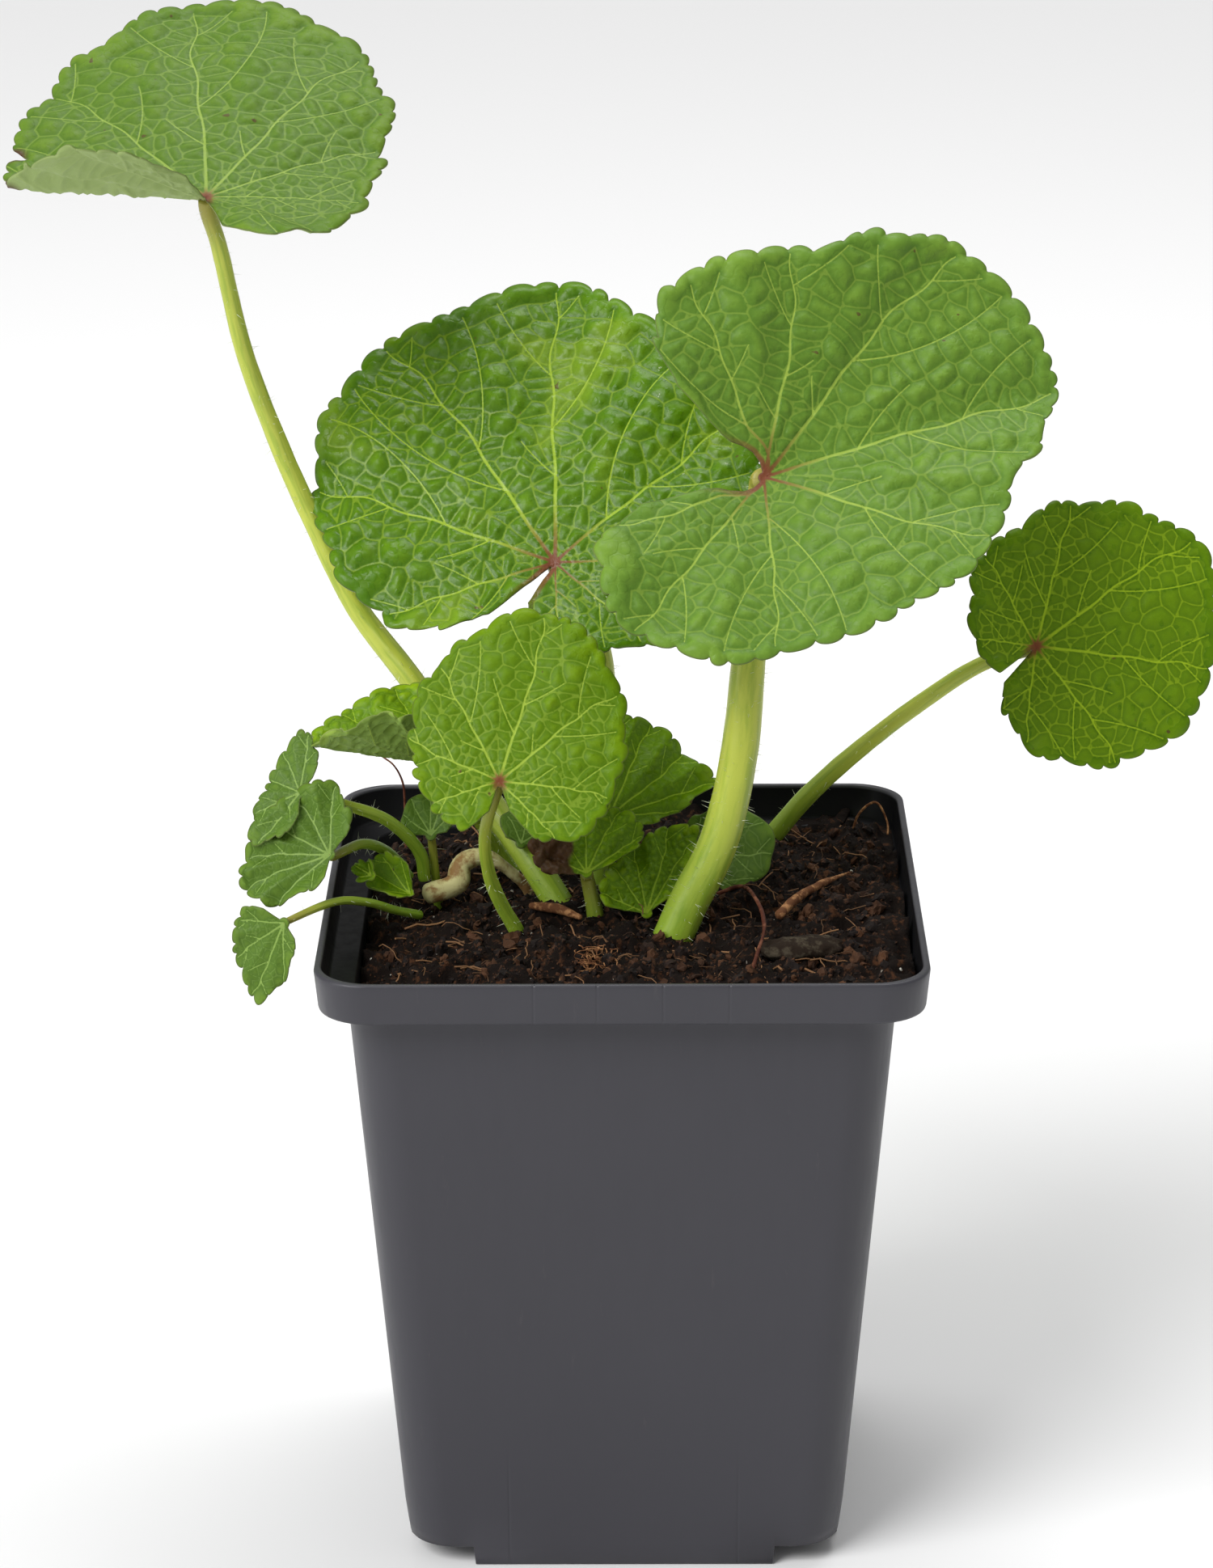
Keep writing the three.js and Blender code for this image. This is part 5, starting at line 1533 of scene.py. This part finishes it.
class HOLLYHOCK_OT_bark(bpy.types.Operator):
    """Builds the chunk of bark, the slivers, the clump of fibres and the roots that lie on the soil"""
    bl_idname = "hollyhock.bark"
    bl_label = "Bark and roots"

    def execute(self, context):
        bark = matter_material("Bark", (0.022, 0.014, 0.009), (0.075, 0.06, 0.04), 420.0, 0.0005, 0.25)
        wood = matter_material("Wood", (0.13, 0.052, 0.022), (0.4, 0.2, 0.085), 700.0, 0.0003, 0.27, 0.8)
        red = matter_material("Reddish root", (0.08, 0.022, 0.012), (0.2, 0.075, 0.04), 500.0, 0.0002,
                              0.25, 0.6)
        finishes = dict(bark_sliver=wood, wood_sliver=wood, root_arch=red, root_upright=red, root_loop=wood)
        for number, (name, (radii, route)) in enumerate(ROOTS.items()):
            line, at = curve_through(route, 0.35)
            made = tube(line, at, radii, 12, 0.2 * max(radii), 120 + number, cap=0.8)
            piece = new_piece(name + "_skin", tube_mesh(name + "_surface", [made]), "bark", name)
            piece.data.materials.append(finishes[name])
        low, high = (np.array(corner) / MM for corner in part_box("bark_chunk"))
        piece = new_piece("bark_chunk_skin", chunk_mesh(low, high), "bark", "bark_chunk")
        piece.data.materials.append(bark)
        low, high = (np.array(corner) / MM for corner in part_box("fibre_clump"))
        piece = new_piece("fibre_clump_skin", clump_mesh(low, high), "bark", "fibre_clump")
        piece.data.materials.append(wood)
        return {"FINISHED"}


def chunk_mesh(low, high):
    """A weathered piece of bark that fills a box, split along its length."""
    across_steps, round_steps = 44, 30
    points, faces = [], []
    for i in range(across_steps + 1):
        t = math.pi * (i + 0.35) / (across_steps + 0.7)
        for k in range(round_steps):
            a = 2 * math.pi * k / round_steps
            out = math.sin(t) ** 0.55
            points.append((-math.cos(t), out * math.cos(a), out * math.sin(a)))
    for i in range(across_steps):
        for k in range(round_steps):
            n = (k + 1) % round_steps
            a, b = i * round_steps, (i + 1) * round_steps
            faces.append((a + k, b + k, b + n, a + n))
    faces.append(tuple(range(round_steps)))
    faces.append(tuple(reversed(range(across_steps * round_steps, (across_steps + 1) * round_steps))))
    p = np.array(points)
    half = (high - low) / 2
    placed = p * half * 0.97
    placed[:, 2] = placed[:, 2] * 1.25 - 0.3
    grain = fractal(placed * (0.35, 2.2, 2.2), 2.0, 3, 5)
    placed += p * (0.3 * grain + 0.2 * fractal(placed, 1.4, 2, 9))[:, None]
    turn = np.array(Matrix.Rotation(math.radians(8), 3, "Z"))
    return new_mesh("bark_chunk_surface", placed @ turn.T * 0.96 + (low + high) / 2, faces)


def clump_mesh(low, high):
    """A little tangle of curled fibres that fills a box."""
    rng = np.random.default_rng(77)
    middle, half = (low + high) / 2, (high - low) / 2
    parts = []
    for number in range(46):
        start = rng.uniform(-0.85, 0.85, 3) * half
        heading = rng.normal(size=3) * (1, 1, 0.35)
        heading /= np.linalg.norm(heading)
        route = [start]
        for _ in range(6):
            heading = heading + rng.normal(size=3) * (0.55, 0.55, 0.25)
            heading /= np.linalg.norm(heading)
            onward = route[-1] + heading * rng.uniform(0.5, 0.9)
            route.append(np.clip(onward, -0.96 * half, 0.96 * half) + rng.normal(size=3) * 0.04)
        line, at = curve_through(np.array(route) + middle, 0.3)
        radius = rng.uniform(0.07, 0.15)
        parts.append(tube(line, at, (radius, radius * 0.6), 5, 0.0, number, cap=0.5))
    return tube_mesh("fibre_clump_surface", parts)


class HOLLYHOCK_OT_stage(bpy.types.Operator):
    """Adds the pale floor, the studio lights and the camera"""
    bl_idname = "hollyhock.stage"
    bl_label = "Stage"

    def execute(self, context):
        scene = context.scene
        floor_mesh = bpy.data.meshes.new("floor")
        reach = 12.0
        corners = [(-reach, -reach, 0), (reach, -reach, 0), (reach, reach, 0), (-reach, reach, 0)]
        floor_mesh.from_pydata(corners, [], [(0, 1, 2, 3)])
        floor = bpy.data.objects.new("floor", floor_mesh)
        scene.collection.objects.link(floor)
        floor.data.materials.append(plain_material("Floor", (0.86, 0.86, 0.86), 0.9))
        world = bpy.data.worlds.new("Studio")
        world.use_nodes = True
        world.node_tree.nodes["Background"].inputs["Color"].default_value = (1, 1, 1, 1)
        world.node_tree.nodes["Background"].inputs["Strength"].default_value = 0.4
        scene.world = world
        lights = (
            ("Key", "SUN", (-0.62, -0.62, 0.95), (0, 0), 2.3),
            ("Left strip", "AREA", (-0.85, -0.35, 0.3), (0.25, 0.8), 1.6),
            ("Top", "AREA", (0.1, 0.35, 1.0), (0.7, 0.5), 5.0),
        )
        for name, kind, place, (wide, tall), power in lights:
            lamp = bpy.data.lights.new(name, kind)
            lamp.energy = power
            if kind == "AREA":
                lamp.shape = "RECTANGLE"
                lamp.size, lamp.size_y = wide, tall
            else:
                lamp.angle = math.radians(34)
            holder = bpy.data.objects.new(name, lamp)
            scene.collection.objects.link(holder)
            holder.location = place
            holder.rotation_euler = (Vector((0, 0, 0.12)) - Vector(place)).to_track_quat("-Z", "Y").to_euler()
        scene.view_settings.view_transform = "Standard"
        scene.camera = camera_of(scene)
        return {"FINISHED"}


def camera_of(scene):
    lens = bpy.data.cameras.new("Camera")
    lens.lens = 110.1
    lens.sensor_width = 36
    lens.clip_start = 0.01
    holder = bpy.data.objects.new("Camera", lens)
    scene.collection.objects.link(holder)
    down, aside, roll = math.radians(18.93), math.radians(-0.36), math.radians(-0.27)
    ahead = Vector((math.sin(aside) * math.cos(down), math.cos(aside) * math.cos(down), -math.sin(down)))
    right = Vector((math.cos(aside), -math.sin(aside), 0))
    up = right.cross(ahead)
    level_right = right * math.cos(roll) + up * math.sin(roll)
    level_up = up * math.cos(roll) - right * math.sin(roll)
    turned = Matrix((level_right, level_up, -ahead)).transposed().to_4x4()
    turned.translation = Vector((0.00197, -0.6898, 0.3519))
    holder.matrix_world = turned
    return holder


OPERATORS = (HOLLYHOCK_OT_pot, HOLLYHOCK_OT_soil, HOLLYHOCK_OT_stalks, HOLLYHOCK_OT_leaves, HOLLYHOCK_OT_bark,
             HOLLYHOCK_OT_stage)


class HOLLYHOCK_PT_panel(bpy.types.Panel):
    """Lists the builders of the potted hollyhock"""
    bl_idname = "HOLLYHOCK_PT_panel"
    bl_label = "Potted Hollyhock"
    bl_space_type = "VIEW_3D"
    bl_region_type = "UI"
    bl_category = "Hollyhock"

    def draw(self, context):
        for operator in OPERATORS:
            self.layout.operator(operator.bl_idname)
        for kind in ("leaf", "stalk", "soil", "pot"):
            column = self.layout.column()
            group = settings(kind)
            for key in group.bl_rna.properties.keys():
                if key not in {"rna_type", "name"}:
                    column.prop(group, key)


CLASSES = (*PG, *OPERATORS, HOLLYHOCK_PT_panel)


def register():
    for made in CLASSES:
        bpy.utils.register_class(made)
    for made in PG:
        kind = made.__name__.rsplit("_", 1)[1]
        setattr(bpy.types.Scene, "hollyhock_" + kind, bpy.props.PointerProperty(type=made))


def unregister():
    for made in PG:
        delattr(bpy.types.Scene, "hollyhock_" + made.__name__.rsplit("_", 1)[1])
    for made in reversed(CLASSES):
        bpy.utils.unregister_class(made)


def main():
    register()
    bpy.ops.hollyhock.pot()
    bpy.ops.hollyhock.soil()
    bpy.ops.hollyhock.stalks()
    bpy.ops.hollyhock.leaves()
    bpy.ops.hollyhock.bark()
    bpy.ops.hollyhock.stage()
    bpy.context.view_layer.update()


if __name__ == "__main__":
    main()
